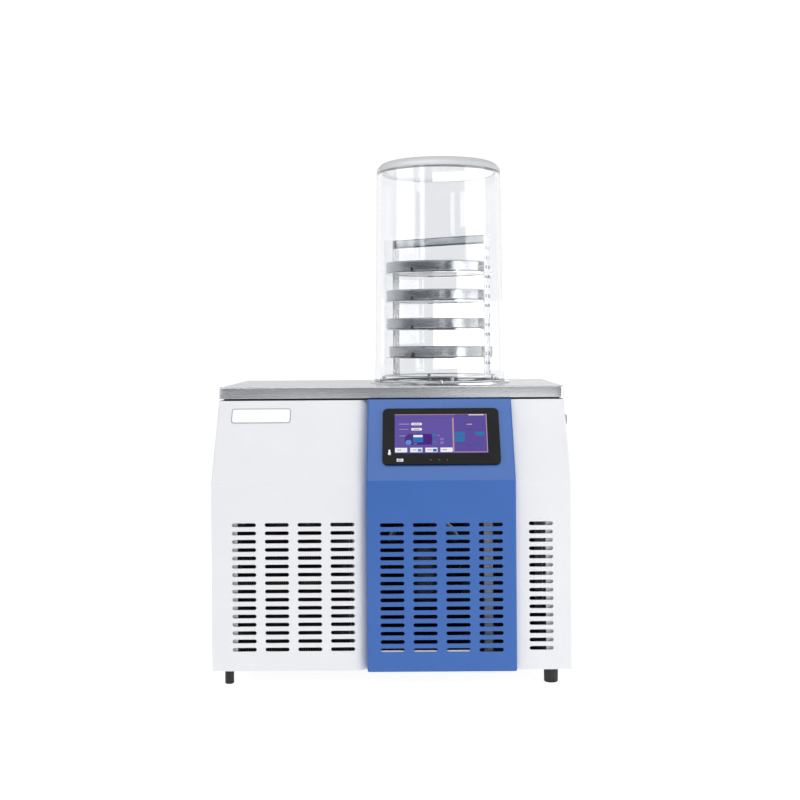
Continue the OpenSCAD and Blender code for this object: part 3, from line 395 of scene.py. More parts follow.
@dataclass(frozen=True)
class PolishedSteel(Finish):
    """Electropolished stainless steel: bright, with the soft waves that the polish leaves."""

    other: str = "#C6C9CC"
    optics: Optics = (("Metallic", 1.0),)
    gloss: Pattern = Pattern(14.0, 1.0)
    spread: float = 0.03
    tone: Pattern = Pattern(14.0, 1.0)
    relief: Pattern = Pattern(14.0, 1.0)
    depth: float = 0.006


@dataclass(frozen=True)
class ClearAcrylic(Finish):
    """Cast acrylic, polished or turned: clear, with a haze of handling marks that comes and goes."""

    optics: Optics = (("Transmission Weight", 1.0), ("IOR", 1.49))
    gloss: Pattern = Pattern(3.0, 3.0, (1, 1, 12))
    spread: float = 0.012


@dataclass(frozen=True)
class Rubber(Finish):
    """Moulded rubber: dull, with the mould's faint grain and a dusty bloom."""

    optics: Optics = (("IOR", 1.52),)
    gloss: Pattern = Pattern(6.0)
    spread: float = 0.08
    tone: Pattern = Pattern(14.0, 3.0)
    relief: Pattern = Pattern(1.4, 3.0)
    depth: float = 0.02


@dataclass(frozen=True)
class MouldedPlastic(Finish):
    """Injection-moulded plastic: even colour, slight flow marks, a soft sheen.

    The real spark-eroded texture is 0.1 mm and is drawn coarser so that it shows.
    """

    optics: Optics = (("IOR", 1.53), ("Specular IOR Level", 0.5))
    gloss: Pattern = Pattern(20.0)
    spread: float = 0.05
    tone: Pattern = Pattern(30.0, 3.0)
    relief: Pattern = Pattern(1.3)
    depth: float = 0.012


@dataclass(frozen=True)
class Enamel(Finish):
    """Stoved enamel on steel: glossy, with small sags and specks under its gloss."""

    other: str = "#101113"
    optics: Optics = (("IOR", 1.52), ("Coat Weight", 0.4), ("Coat Roughness", 0.12))
    gloss: Pattern = Pattern(12.0)
    spread: float = 0.06
    tone: Pattern = Pattern(18.0)
    relief: Pattern = Pattern(7.0, 3.0)
    depth: float = 0.05


@dataclass(frozen=True)
class CopperTube(Finish):
    """Drawn copper: warm metal that has browned in patches, duller where it has."""

    other: str = "#8A5233"
    optics: Optics = (("Metallic", 1.0),)
    gloss: Pattern = Pattern(22.0, 4.0)
    spread: float = 0.1
    tone: Pattern = Pattern(22.0, 4.0)
    relief: Pattern = Pattern(2.0)
    depth: float = 0.006


@dataclass(frozen=True)
class Foam(Finish):
    """Closed-cell foam: a skin of small blisters."""

    other: str = "#C9C3AC"
    tone: Pattern = Pattern(25.0)
    depth: float = 0.4
    blister: float = 3.5  # size of a blister

    def shade(self, look: Look) -> None:
        """Add the blisters and their shade.

        Args:
            look: The shader under construction.
        """
        super().shade(look)
        look.raise_relief(look.cells(self.blister).outputs["Distance"], self.depth)


@dataclass(frozen=True)
class DisplayGlass(Finish):
    """Cover glass of a touch screen over its lit panel: glossy, with faint finger marks."""

    optics: Optics = (("IOR", 1.5), ("Specular IOR Level", 0.12), ("Emission Strength", 0.84))
    gloss: Pattern = Pattern(16.0, 4.0)
    spread: float = 0.05
    # Colour of the glass itself. The finish's own colour is that of the lit panel.
    unlit: str = "#060608"

    def shade(self, look: Look) -> None:
        """Light the panel under its anti-glare glass and lay finger marks over it.

        Args:
            look: The shader under construction.
        """
        look.surface.inputs["Base Color"].default_value = linear(self.unlit)
        look.surface.inputs["Emission Color"].default_value = linear(self.colour)
        super().shade(look)


@dataclass(frozen=True)
class PrintedFilm(Finish):
    """Printed or anodised label film: even colour with the slight unevenness of its ink."""

    other: str = "#F2F2F4"
    gloss: Pattern = Pattern(8.0)
    spread: float = 0.02
    tone: Pattern = Pattern(5.0, 3.0)


# ---------------------------------------------------------------- mesh making


def lift(height: float) -> Vector:
    """Return a step upwards of a number of millimetres."""
    return Vector((0.0, 0.0, height * MM))


def circle(radius: float, steps: int = 48) -> list[Vector]:
    """Return points round a circle in the plane z = 0.

    Args:
        radius: Radius in metres.
        steps: Number of points.

    Returns:
        The points, anticlockwise.
    """
    turns = [2 * math.pi * i / steps for i in range(steps)]
    return [Vector((radius * math.cos(t), radius * math.sin(t), 0.0)) for t in turns]


def quarter(cx: float, cz: float, r: float, start: float, end: float, steps: int) -> list[Pair]:
    """Return points of an arc in a profile.

    Args:
        cx: Its centre's radius.
        cz: Its centre's height.
        r: Its radius.
        start: First angle in degrees.
        end: Last angle in degrees.
        steps: Number of segments.

    Returns:
        Radius and height of each point.
    """
    turns = [math.radians(start + (end - start) * i / steps) for i in range(steps + 1)]
    return [(cx + r * math.cos(t), cz + r * math.sin(t)) for t in turns]


def rounded(width: float, height: float, radius: float, steps: int = 6, spacing: float = 0.0) -> Outline:
    """Describe a rectangle with rounded corners in the plane z = 0.

    Args:
        width: Size along x in metres.
        height: Size along y in metres.
        radius: Radius of its corners in metres.
        steps: Segments in each corner.
        spacing: Greatest distance of points along the straight sides, or 0 for none.

    Returns:
        A function that gives the outline moved inwards by a distance.
    """

    def outline(inset: float) -> list[Vector]:
        """Return the outline's points, moved inwards.

        Args:
            inset: How far they move, in metres.

        Returns:
            The points, anticlockwise.
        """
        r = max(radius - inset, TINY)
        points = []
        for corner, (sx, sy) in enumerate([(1, -1), (1, 1), (-1, 1), (-1, -1)]):
            cx, cy = sx * (width / 2 - inset - r), sy * (height / 2 - inset - r)
            start = RIGHT_ANGLE * (corner - 1)
            for i in range(steps + 1):
                turn = start + RIGHT_ANGLE * i / steps
                points.append(Vector((cx + r * math.cos(turn), cy + r * math.sin(turn), 0.0)))
        if not spacing:
            return points
        filled = []
        for here, there in zip(points, points[1:] + points[:1]):
            straight = (there - here).length > 4 * radius
            count = max(1, round(max(width, height) / spacing)) if straight else 1
            filled += [here.lerp(there, i / count) for i in range(count)]
        return filled

    return outline


def stacked(outline: Outline, levels: Profile) -> list[list[Vector]]:
    """Lay an outline at several heights.

    Args:
        outline: The outline.
        levels: Inset and height of each one in millimetres.

    Returns:
        A row of points for each level.
    """
    return [[p + lift(z) for p in outline(inset * MM)] for inset, z in levels]


class Shape:
    """A mesh under construction, in metres in the frame of the solids."""

    def __init__(self) -> None:
        """Start with nothing."""
        self.bm = bmesh.new()

    def skin(
        self,
        rows: Sequence[Sequence[Vector]],
        matrix: Matrix = Matrix(),
        loop: bool = False,
        caps: bool = True,
    ) -> "Shape":
        """Lay faces over rows of points, each closed on itself. A row of one point is a pole.

        Args:
            rows: Rows of points, all as long as one another or a single point.
            matrix: Where the rows go.
            loop: Whether the last row joins the first.
            caps: Whether open ends are filled.

        Returns:
            The shape itself.
        """
        made = [[self.bm.verts.new(matrix @ p) for p in row] for row in rows]
        pairs = list(zip(made, made[1:])) + ([(made[-1], made[0])] if loop else [])
        for low, high in pairs:
            count = max(len(low), len(high))
            for i in range(count):
                j = (i + 1) % count
                corners = [low[i % len(low)], low[j % len(low)], high[j % len(high)], high[i % len(high)]]
                face = list(dict.fromkeys(corners))
                if len(face) > 2:
                    self.bm.faces.new(face)
        if caps and not loop:
            for row in (made[0], made[-1]):
                if len(row) > 2:
                    self.bm.faces.new(row)
        return self

    def lathe(self, profile: Profile, matrix: Matrix, steps: int = 48, closed: bool = False) -> "Shape":
        """Turn a profile round the z axis.

        Args:
            profile: Radius and height of each point in millimetres.
            matrix: Where the axis goes.
            steps: Segments round the axis.
            closed: Whether the profile is a closed section.

        Returns:
            The shape itself.
        """
        rows = []
        for r, z in profile:
            row = circle(r * MM, steps) if r > TINY else [Vector()]
            rows.append([p + lift(z) for p in row])
        return self.skin(rows, matrix, loop=closed, caps=False)

    def plate(self, outline: Outline, height: float, matrix: Matrix) -> "Shape":
        """Raise a flat plate.

        Args:
            outline: Its outline.
            height: Its thickness in millimetres.
            matrix: Where its lower face goes.

        Returns:
            The shape itself.
        """
        return self.skin(stacked(outline, [(0.0, 0.0), (0.0, height)]), matrix)

    def piece(self, name: str, smooth: float = 32.0) -> bpy.types.Object:
        """Finish the mesh.

        Args:
            name: Name of the piece.
            smooth: Greatest angle between faces that shade as one, in degrees.

        Returns:
            The piece, in the scene.
        """
        bmesh.ops.recalc_face_normals(self.bm, faces=self.bm.faces[:])
        mesh = bpy.data.meshes.new(name)
        self.bm.to_mesh(mesh)
        self.bm.free()
        mesh.shade_smooth()
        mesh.set_sharp_from_angle(angle=math.radians(smooth))
        made = bpy.data.objects.new(name, mesh)
        bpy.context.scene.collection.objects.link(made)
        return made


# ---------------------------------------------------------------- placing and dressing


@dataclass(frozen=True)
class Datum:
    """The cabinet's own zero: the middle of its plan, on the bench."""

    origin: Vector  # where that zero is in the solids' frame, in metres

    @classmethod
    def from_solids(cls) -> "Datum":
        """Find the zero from the covers' solids."""
        left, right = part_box("left_cover")[0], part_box("right_cover")[1]
        return cls(Vector(((left.x + right.x) / 2, (left.y + right.y) / 2, 0.0)))

    def at(self, x: float, y: float, z: float) -> Vector:
        """Turn a place in millimetres from the cabinet's zero into metres."""
        return self.origin + Vector((x, y, z)) * MM

    def turned(self, x: float, y: float, z: float, turn: Matrix | None = None) -> Matrix:
        """Return the matrix of a place, with a turn if one is given."""
        return Matrix.Translation(self.at(x, y, z)) @ (turn or Matrix())


@dataclass(frozen=True)
class Slope:
    """The part of the front that leans back above the fold."""

    rise: float = 131.5  # its height
    back: float = 90.0  # how far it leans back over that height

    def turn(self) -> Matrix:
        """Return the turn that lays a flat piece on the slope."""
        return Matrix.Rotation(RIGHT_ANGLE - math.atan2(self.back, self.rise), 4, "X")


@dataclass
class Assembly:
    """A group of pieces that belong together."""

    datum: Datum  # the cabinet's zero

    def add(
        self,
        shape: Shape,
        name: str,
        finish: Finish,
        slot: str,
        body: str = "cabinet",
        stands_for: Sequence[str] = (),
        smooth: float = 32.0,
    ) -> bpy.types.Object:
        """Finish a piece, dress it and let it ride on its body.

        Args:
            shape: Its mesh under construction.
            name: Its name.
            finish: Its finish.
            slot: The record's material slot; not used.
            body: The body that carries it.
            stands_for: Solids that it replaces.
            smooth: Greatest angle between faces that shade as one, in degrees.

        Returns:
            The piece.
        """
        made = shape.piece(name, smooth)
        made.data.materials.append(finish.material())
        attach(made, body)
        if stands_for:
            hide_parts(*stands_for)
        log.info("piece %s: %d faces, %s", name, len(made.data.polygons), finish.name)
        return made

    def dress(self, finish: Finish, *nodes: str) -> None:
        """Give solids a finish.

        Args:
            finish: The finish.
            *nodes: Names of the solids.
        """
        for node in nodes:
            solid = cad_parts[node]
            solid.data.materials.clear()
            solid.data.materials.append(finish.material())
            log.info("solid %s: %s", node, finish.name)

    def build(self) -> None:
        """Build and dress the group."""
        raise NotImplementedError


WHITE = PowderCoat("powder_coated_steel_white", "#E0E1E4", 0.42)  # cool white with soft lights on its folds
# The same coat with its inner face painted black, as painted shade that keeps the housing dark behind the slots.
WHITE_SHADED_INSIDE = ShadedInsidePanel("powder_coated_steel_white_painted_shade_inside", "#E0E1E4", 0.42)
BLUE = PowderCoat("powder_coated_steel_blue", "#2B5EA9", 0.33, "#2A5DA7")  # the one strong colour
# Hairlines along the worktop's length, bright where the lamps lie across them.
BRUSHED_X = BrushedSteel("brushed_stainless_steel_long", "#D6D8DB", 0.26, "#D1D3D6", along=Grain.X)
# Pale strips with upright hairlines.
BRUSHED_Z = BrushedSteel("brushed_stainless_steel_upright", "#F4F5F6", 0.5, "#EEEFF0", along=Grain.Z)
ZINC = PlatedSteel("zinc_plated_steel_sheet", "#B9BDC0", 0.42)  # dull grey, clouded by its crystals
PLATED = PlatedSteel("nickel_plated_steel", "#C9CBCC", 0.26, "#B9BBBC", crystal=3.0)  # bright, with a fine grain
POLISHED = PolishedSteel("electropolished_stainless_steel", "#D2D4D6", 0.12)  # nearly a mirror
LONG_WAVES = Pattern(40.0, 1.0)
# A darker bar that mirrors the room in long stretches.
SATIN_BAR = PolishedSteel(
    "electropolished_stainless_bar", "#9DA1A5", 0.16, "#7F8488",
    gloss=LONG_WAVES, tone=LONG_WAVES, relief=LONG_WAVES,
)
ACRYLIC = ClearAcrylic("cast_acrylic_clear", "#F5F6F8", 0.015)  # clear as glass, seen by its reflections
# The turned shoulder scatters part of the light and shows as a grey band.
ACRYLIC_SATIN = ClearAcrylic(
    "turned_acrylic_satin", "#E3E5E7", 0.4, optics=(("Transmission Weight", 0.6), ("IOR", 1.49))
)
BLACK_RUBBER = Rubber("moulded_rubber_black", "#141516", 0.62, "#1B1C1D")  # dull black feet
SEAL_RUBBER = Rubber("silicone_rubber_translucent", "#DADDE0", 0.45, "#D0D4D8")  # a milky ring
# A black that stays black at a glancing view.
BLACK_ABS = MouldedPlastic(
    "moulded_abs_black", "#101113", 0.4, "#121315", optics=(("IOR", 1.53), ("Specular IOR Level", 0.12))
)
DARK_NYLON = MouldedPlastic("moulded_nylon_black", "#191A1C", 0.48, "#202124")  # grained and soft
GREY_PLASTIC = MouldedPlastic("moulded_abs_grey", "#77797C", 0.45, "#6D6F72")  # a plain middle grey
BLUE_PLASTIC = MouldedPlastic("moulded_nylon_blue", "#2458A6", 0.4, "#1F4F98")  # marks a part to turn
RED_PLASTIC = MouldedPlastic("moulded_polycarbonate_red", "#B3201E", 0.25, "#A51C1A")  # marks the switch
BLACK_ENAMEL = Enamel("stoved_enamel_black", "#17181A", 0.3)  # a glossy black shell
COPPER = CopperTube("drawn_copper", "#C47A52", 0.3)  # warm and stained
FOAM = Foam("closed_cell_foam", "#D8D2BC", 0.8)  # chalky and blistered
FINS_IN_PAINTED_SHADE = Enamel("condenser_black_painted_shade", "#1B1C1E", 0.42, "#232528")  # black as painted shade behind the left slots, with dull edges


@dataclass
class Cabinet(Assembly):
    """The sheet-metal cabinet: covers, centre panel, frame, pan, feet and screws."""

    width: float = 600.0  # width over the covers
    depth: float = 440.0  # depth over the covers
    sheet: float = 1.5  # thickness of the covers
    foot_height: float = 28.0  # height of the feet
    left_foot: Pair = (8.0, 25.0)  # radius, distance in from the side of a left foot
    right_foot: Pair = (12.5, 33.0)  # the same of a right foot
    foot_in: float = 30.0  # distance of a foot's axis from the front or back
    cover_top: float = 472.5  # height of the covers
    screw_radius: float = 4.0  # radius of a screw's head
    screw_height: float = 1.6  # height of a screw's head
    # Rounding of a screw's head, as shares of its radius and height.
    screw_dome: Profile = ((1.0, 0.0), (1.0, 0.25), (0.93, 0.62), (0.8, 0.88), (0.64, 1.0))
    screw_rows: tuple[float, ...] = (-60.0, 60.0, 180.0)  # places of the side screws along the depth
    screw_low: float = 14.0  # distance of the lowest screws from the covers' lower edge
    screw_high: float = 20.0  # distance of the side screws from the covers' upper edge
    rear_in: float = 13.8  # distance of the rear screws from the sides
    rear_high: float = 12.0  # distance of the rear screws from the covers' upper edge
    # Width and depth of the folded posts inside the covers' front corners.
    post: Pair = (41.5, 26.0)
    post_behind: float = 7.0  # distance of a post's face behind the covers' front
    post_span: Pair = (52.0, 322.0)  # height of the posts' lower and upper ends
    post_fold: float = 1.6  # radius of a post's fold
    inner_sheet: float = 1.2  # thickness of the posts and the lip
    pan_rim: float = 50.0  # height of the base pan's rim
    lip_span: Pair = (-35.0, 137.0)  # ends of the lip along the width
    lip_front: float = -227.6  # face of the lip behind the centre panel
    lip_back: float = -190.0  # back of the lip's foot on the rim
    lip_top: float = 62.8  # height of the lip's upper edge
    lip_edge: float = 0.6  # radius of that edge

    def foot(self, shape: Shape, radius: float, x: float, y: float) -> None:
        """Add one moulded foot with a rounded tread and a collar.

        Args:
            shape: The shape that gets it.
            radius: Its radius.
            x: Its axis along the width.
            y: Its axis along the depth.
        """
        tall, tread, hollow, collar = self.foot_height, 1.5, 1.0, 5.0
        profile = [(0.0, hollow), (radius * 0.7, hollow), (radius * 0.74, 0.0)]
        profile += quarter(radius * 0.94 - tread, tread, tread, -90, 0, 4)
        profile += [(radius - 0.5, tall - collar), (radius, tall - collar + 0.6)]
        profile += [(radius, tall), (0.0, tall)]
        shape.lathe(profile, self.datum.turned(x, y, 0.0), 40)

    def feet(self) -> None:
        """Build the two pairs of feet."""
        rows = (-self.depth / 2 + self.foot_in, self.depth / 2 - self.foot_in)
        pairs = (("left_feet", self.left_foot, -1), ("right_feet", self.right_foot, 1))
        for name, (radius, inset), side in pairs:
            shape = Shape()
            for y in rows:
                self.foot(shape, radius, side * (self.width / 2 - inset), y)
            self.add(shape, name + "_moulded", BLACK_RUBBER, "foot_rubber", stands_for=(name,))

    def screw(self, shape: Shape, matrix: Matrix) -> None:
        """Add one button-head screw with a hexagon socket.

        Args:
            shape: The shape that gets it.
            matrix: Where it sits.
        """
        r, h, steps, side = self.screw_radius, self.screw_height, 24, 60
        rows = [[p + lift(h * z) for p in circle(r * q * MM, steps)] for q, z in self.screw_dome]
        socket, floor = r * 0.42, h * 0.2
        for z in (h, floor):
            row = []
            for i, p in enumerate(circle(1.0, steps)):
                off = math.radians((i * 360 / steps) % side - side / 2)
                row.append(p * (socket / math.cos(off) * MM) + lift(z))
            rows.append(row)
        shape.skin([*rows, [lift(floor)]], matrix, caps=False)

    def screws(self) -> None:
        """Build the screws in the covers' sides and in the rear panel."""
        shape = Shape()
        side, low, high = self.width / 2, self.foot_height, self.cover_top
        for s in (-1, 1):
            turn = Matrix.Rotation(s * RIGHT_ANGLE, 4, "Y")
            for y in self.screw_rows:
                for z in (low + self.screw_low, high - self.screw_high):
                    self.screw(shape, self.datum.turned(s * side, y, z, turn))
        turn = Matrix.Rotation(-RIGHT_ANGLE, 4, "X")
        for x in (self.rear_in - side, side - self.rear_in):
            for z in (low + self.screw_low, (low + high) / 2, high - self.rear_high):
                self.screw(shape, self.datum.turned(x, self.depth / 2, z, turn))
        self.add(shape, "button_head_screws", PLATED, "screw_steel", stands_for=("cover_screws",))

    def posts(self) -> None:
        """Build the folded posts that stiffen the covers' front corners behind the slots."""
        wide, deep = self.post
        sheet, fold = self.inner_sheet, self.post_fold
        inner, front = self.width / 2 - self.sheet, -self.depth / 2 + self.post_behind
        turns = (0.0, 0.4, 0.8, 1.2, RIGHT_ANGLE)
        bend = [(inner - fold + fold * math.sin(t), front + fold - fold * math.cos(t)) for t in turns]
        section = [(inner - wide, front), *bend, (inner, front + deep)]
        section += [(inner - sheet, front + deep), (inner - sheet, front + fold)]
        section += [(inner - fold, front + sheet), (inner - wide, front + sheet)]
        shape = Shape()
        for s in (-1, 1):
            shape.skin([[self.datum.at(s * x, y, z) for x, y in section] for z in self.post_span])
        self.add(shape, "corner_posts_folded", WHITE, "painted_white")

    def lip(self) -> None:
        """Build the white lip that stands on the pan's rim close behind the centre panel's lowest slots."""
        front, foot, top = self.lip_front, self.pan_rim, self.lip_top
        sheet, edge = self.inner_sheet, self.lip_edge
        turns = (0.0, 0.5, 1.0, RIGHT_ANGLE)
        bend = [(front + edge - edge * math.cos(t), top - edge + edge * math.sin(t)) for t in turns]
        section = [(front, foot), *bend, (front + sheet, top), (front + sheet, foot + sheet)]
        section += [(self.lip_back, foot + sheet), (self.lip_back, foot)]
        shape = Shape().skin([[self.datum.at(x, y, z) for y, z in section] for x in self.lip_span])
        self.add(shape, "pan_lip_folded", WHITE, "painted_white")

    def build(self) -> None:
        """Build and dress the cabinet."""
        self.dress(WHITE, "left_cover", "right_cover", "frame")
        # The rear panel's inner face is painted black as painted shade.
        self.dress(WHITE_SHADED_INSIDE, "rear_panel")
        self.dress(BLUE, "centre_panel")
        # The base pan is painted black as painted shade, so the floor inside stays dark behind the slots.
        self.dress(BLACK_ENAMEL, "base_pan")
        self.dress(DARK_NYLON, "backing_board")
        self.feet()
        self.screws()
        self.posts()
        self.lip()


@dataclass
class Badge(Assembly):
    """A blank badge on the left cover's slope: a white plate in a thin grey rim."""

    width: float = 102.0  # width of the badge
    height: float = 29.0  # height of the badge, along the slope
    corner: float = 5.0  # radius of its corners
    rim: float = 1.3  # width of its rim
    rim_height: float = 0.7  # height of the rim
    bevel: Pair = (0.15, 0.2)  # width and height of the bevels along the rim
    plate: float = 0.4  # thickness of the plate
    middle: float = -224.5  # distance of its middle from the cabinet's middle
    down: float = 30.5  # distance of its middle from the slope's top, along the slope

    def build(self) -> None:
        """Build the plate and its rim."""
        slope, (low, high) = Slope(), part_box("left_cover")
        start = Vector((self.datum.at(self.middle, 0, 0).x, low.y + slope.back * MM, high.z))
        place = Matrix.Translation(start) @ slope.turn() @ Matrix.Translation((0, -self.down * MM, 0))
        outer = rounded(self.width * MM, self.height * MM, self.corner * MM, 8)
        wide, tall = self.rim, self.rim_height
        ease, side = self.bevel[0], tall - self.bevel[1]
        levels = [(0.0, 0.0), (0.0, side), (ease, tall), (wide - ease, tall), (wide, side), (wide, 0.0)]
        rim = Shape().skin(stacked(outer, levels), place, loop=True)
        # A grey line that sets the plate off from the white cover.
        grey = PrintedFilm("anodised_rim_grey", "#8B8E93", 0.4, "#7F8287")
        self.add(rim, "badge_rim", grey, "painted_white")
        plate = Shape().plate(lambda inset: outer(inset + wide * MM), self.plate, place)
        white = PrintedFilm("printed_film_white", "#F0F1F4", 0.35, "#EEEFF2")  # whiter than the cover
        self.add(plate, "badge_plate", white, "painted_white")


@dataclass
class Worktop(Assembly):
    """The folded stainless worktop with eased edges and the hole for the trap."""

    corner: float = 5.0  # radius of its upright corners
    fold: float = 2.2  # outside radius of its folded edge
    flat: float = 1.0  # width of the flat strip beside the fold that keeps the fold's shading off the top
    sheet: float = 1.5  # thickness of its sheet
    edge: float = 0.3  # ease of the sheet's lower edge
    spacing: float = 12.0  # distance of points along its sides
    hole: float = 101.8  # radius of the hole
    trap: Pair = (88.0, 45.0)  # where the hole's middle is

    def build(self) -> None:
        """Build the worktop as one folded shell."""
        low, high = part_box("worktop")
        size = high - low
        middle = Vector(((low.x + high.x) / 2, (low.y + high.y) / 2, low.z))
        outline = rounded(size.x, size.y, self.corner * MM, 8, self.spacing * MM)
        tall, fold, sheet = size.z / MM, self.fold, self.sheet
        levels = [(sheet, 0.0), (self.edge, 0.0), (0.0, self.edge)]
        levels += [(fold - x, z) for x, z in quarter(0.0, tall - fold, fold, 0, 90, 5)]
        rows = stacked(outline, [*levels, (fold + self.flat, tall)])
        centre = self.datum.at(*self.trap, 0.0) - middle
        for z in (tall, tall - sheet):
            ring = []
            for p in outline(fold * MM):
                away = Vector((p.x - centre.x, p.y - centre.y, 0.0)).normalized() * self.hole * MM
                ring.append(Vector((centre.x + away.x, centre.y + away.y, z * MM)))
            rows.append(ring)
        rows += stacked(outline, [(fold, tall - sheet), (sheet, tall - fold)])
        shape = Shape().skin(rows, Matrix.Translation(middle), loop=True)
        self.add(shape, "worktop_folded", BRUSHED_X, "worktop_steel", stands_for=("worktop",))


@dataclass
class ColdTrap(Assembly):
    """The cold trap, its foam and coil, the seat ring, the seal, the studs and the bell jar."""

    axis: Pair = (88.0, 45.0)  # where the trap's axis is
    jar_foot: float = 121.5  # outside radius of the jar at its foot
    jar_shoulder: float = 116.5  # outside radius of the jar at its shoulder
    jar_height: float = 405.5  # height of the jar
    jar_ease: float = 0.8  # ease of the edges of the jar's foot
    # Heights at which the jar's wall has points.
    jar_rows: tuple[float, ...] = (60.0, 130.0, 200.0, 270.0, 330.0)
    jar_step: float = 1.0  # distance of the points that keep the jar's curves apart from its flats
    wall: float = 9.0  # wall of the jar
    crown: float = 20.0  # thickness of the jar's top
    shoulder: float = 19.0  # radius of the jar's shoulder
    inner_corner: float = 1.5  # radius of the corner inside the shoulder
    ring: Pair = (113.0, 131.0)  # inner and outer radius of the seat ring
    ring_ease: Pair = (0.4, 0.9)  # radius of the seat ring's inner and outer edge
    seal: Pair = (112.0, 123.0)  # inner and outer radius of the seal
    seal_edge: float = 1.2  # radius of the seal's edges
    stud_turns: tuple[float, ...] = (207.0, 270.0, 20.0)  # directions of the three studs
    stud_radius: float = 4.0  # radius of a stud
    # Rounding of a stud's upper edge, as distances inwards and down.
    stud_nose: Profile = ((0.0, 1.6), (0.4, 1.0), (1.5, 0.0))
    stud_socket: Pair = (1.5, 1.4)  # radius and depth of the socket in a stud
    stud_out: float = 1.8  # gap between the jar's foot and a stud
    smooth: float = 40.0  # greatest angle between the jar's faces that shade as one, in degrees

    def spot(self, z: float) -> Matrix:
        """Return the place on the axis at a height in metres."""
        place = self.datum.at(*self.axis, 0.0)
        return Matrix.Translation((place.x, place.y, z))

    def spun(self, name: str, colour: str, roughness: float) -> SpunSteel:
        """Return spun steel turned on the trap's axis."""
        place = self.datum.at(*self.axis, 0.0)
        return SpunSteel(name, colour, roughness, centre=(place.x, place.y))

    def extent(self, node: str) -> Pair:
        """Return the lower end of a solid in metres and its height in millimetres."""
        low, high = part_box(node)
        return low.z, (high.z - low.z) / MM

    def jar(self) -> None:
        """Build the jar: a tapered wall, a rounded shoulder and a thick crown."""
        foot, tall, bend, corner = self.jar_foot, self.jar_height, self.shoulder, self.inner_corner
        bore, under, ease, step = foot - self.wall, tall - self.crown, self.jar_ease, self.jar_step
        taper = (foot - self.jar_shoulder) / (tall - bend)
        inner, flat, middle = bore - taper * (under - corner), self.jar_shoulder - bend, self.jar_rows[0]
        profile = [(0.0, under), (middle, under), (inner - corner - step, under)]
        profile += quarter(inner - corner, under - corner, corner, 90, 0, 10)
        profile += [(inner + taper, under - corner - step)]
        profile += [(bore - taper * z, z) for z in reversed(self.jar_rows)]
        profile += [(bore, ease), (bore + ease, 0.0), (foot - ease, 0.0), (foot, ease)]
        profile += [(foot - taper * z, z) for z in self.jar_rows]
        profile += [(self.jar_shoulder + taper, tall - bend - step)]
        profile += quarter(flat, tall - bend, bend, 0, 90, 24)
        profile += [(flat - step, tall), (middle, tall), (0.0, tall)]
        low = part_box("bell_jar")[0].z
        shape = Shape().lathe(profile, self.spot(low), 160)
        jar = self.add(
            shape, "bell_jar_cast", ACRYLIC, "clear_acrylic", stands_for=("bell_jar",), smooth=self.smooth
        )
        jar.data.materials.append(ACRYLIC_SATIN.material())
        axis, start = self.spot(0.0).translation, low + (tall - bend + step) * MM
        for face in jar.data.polygons:
            away = (face.center - axis).to_2d().length
            if face.center.z > start and away > flat * MM:
                face.material_index = 1

    def seat(self) -> None:
        """Build the turned seat ring and the moulded seal."""
        low, tall = self.extent("seat_ring")
        (a, b), (small, ease) = self.ring, self.ring_ease
        profile = [(a, 0.0), (b, 0.0)] + quarter(b - ease, tall - ease, ease, 0, 90, 4)
        profile += quarter(a + small, tall - small, small, 90, 180, 2)
        shape = Shape().lathe(profile, self.spot(low), 144, closed=True)
        steel = self.spun("spun_stainless_steel_ring", "#C6C9CC", 0.2)  # bright rings round the jar's foot
        self.add(shape, "seat_ring_turned", steel, "ring_steel", stands_for=("seat_ring",))
        low, tall = self.extent("seal_ring")
        (a, b), r = self.seal, self.seal_edge
        profile = []
        for x, z, start in ((b - r, r, -90), (b - r, tall - r, 0), (a + r, tall - r, 90), (a + r, r, 180)):
            profile += quarter(x, z, r, start, start + 90, 3)
        shape = Shape().lathe(profile, self.spot(low), 144, closed=True)
        self.add(shape, "seal_ring_moulded", SEAL_RUBBER, "seal_rubber", stands_for=("seal_ring",))

    def studs(self) -> None:
        """Build the studs that keep the jar in its place."""
        low, tall = self.extent("locating_studs")
        r, (socket, deep) = self.stud_radius, self.stud_socket
        profile = [(0.0, 0.0), (r, 0.0)] + [(r - inward, tall - down) for inward, down in self.stud_nose]
        profile += [(socket + 0.1, tall), (socket, tall - deep), (0.0, tall - deep)]
        reach = Matrix.Translation(((self.jar_foot + r + self.stud_out) * MM, 0, 0))
        shape = Shape()
        for turn in self.stud_turns:
            out = Matrix.Rotation(math.radians(turn), 4, "Z") @ reach
            shape.lathe(profile, self.spot(low) @ out, 32)
        self.add(shape, "locating_studs_turned", PLATED, "ring_steel", stands_for=("locating_studs",))

    def build(self) -> None:
        """Build and dress the trap and all that stands on it."""
        # Fine bright rings round the wall of the trap.
        self.dress(self.spun("spun_stainless_steel_trap", "#C9CCCE", 0.22), "trap_well")
        self.dress(COPPER, "cooling_coil")
        self.dress(FOAM, "foam_jacket")
        self.seat()
        self.studs()
        self.jar()


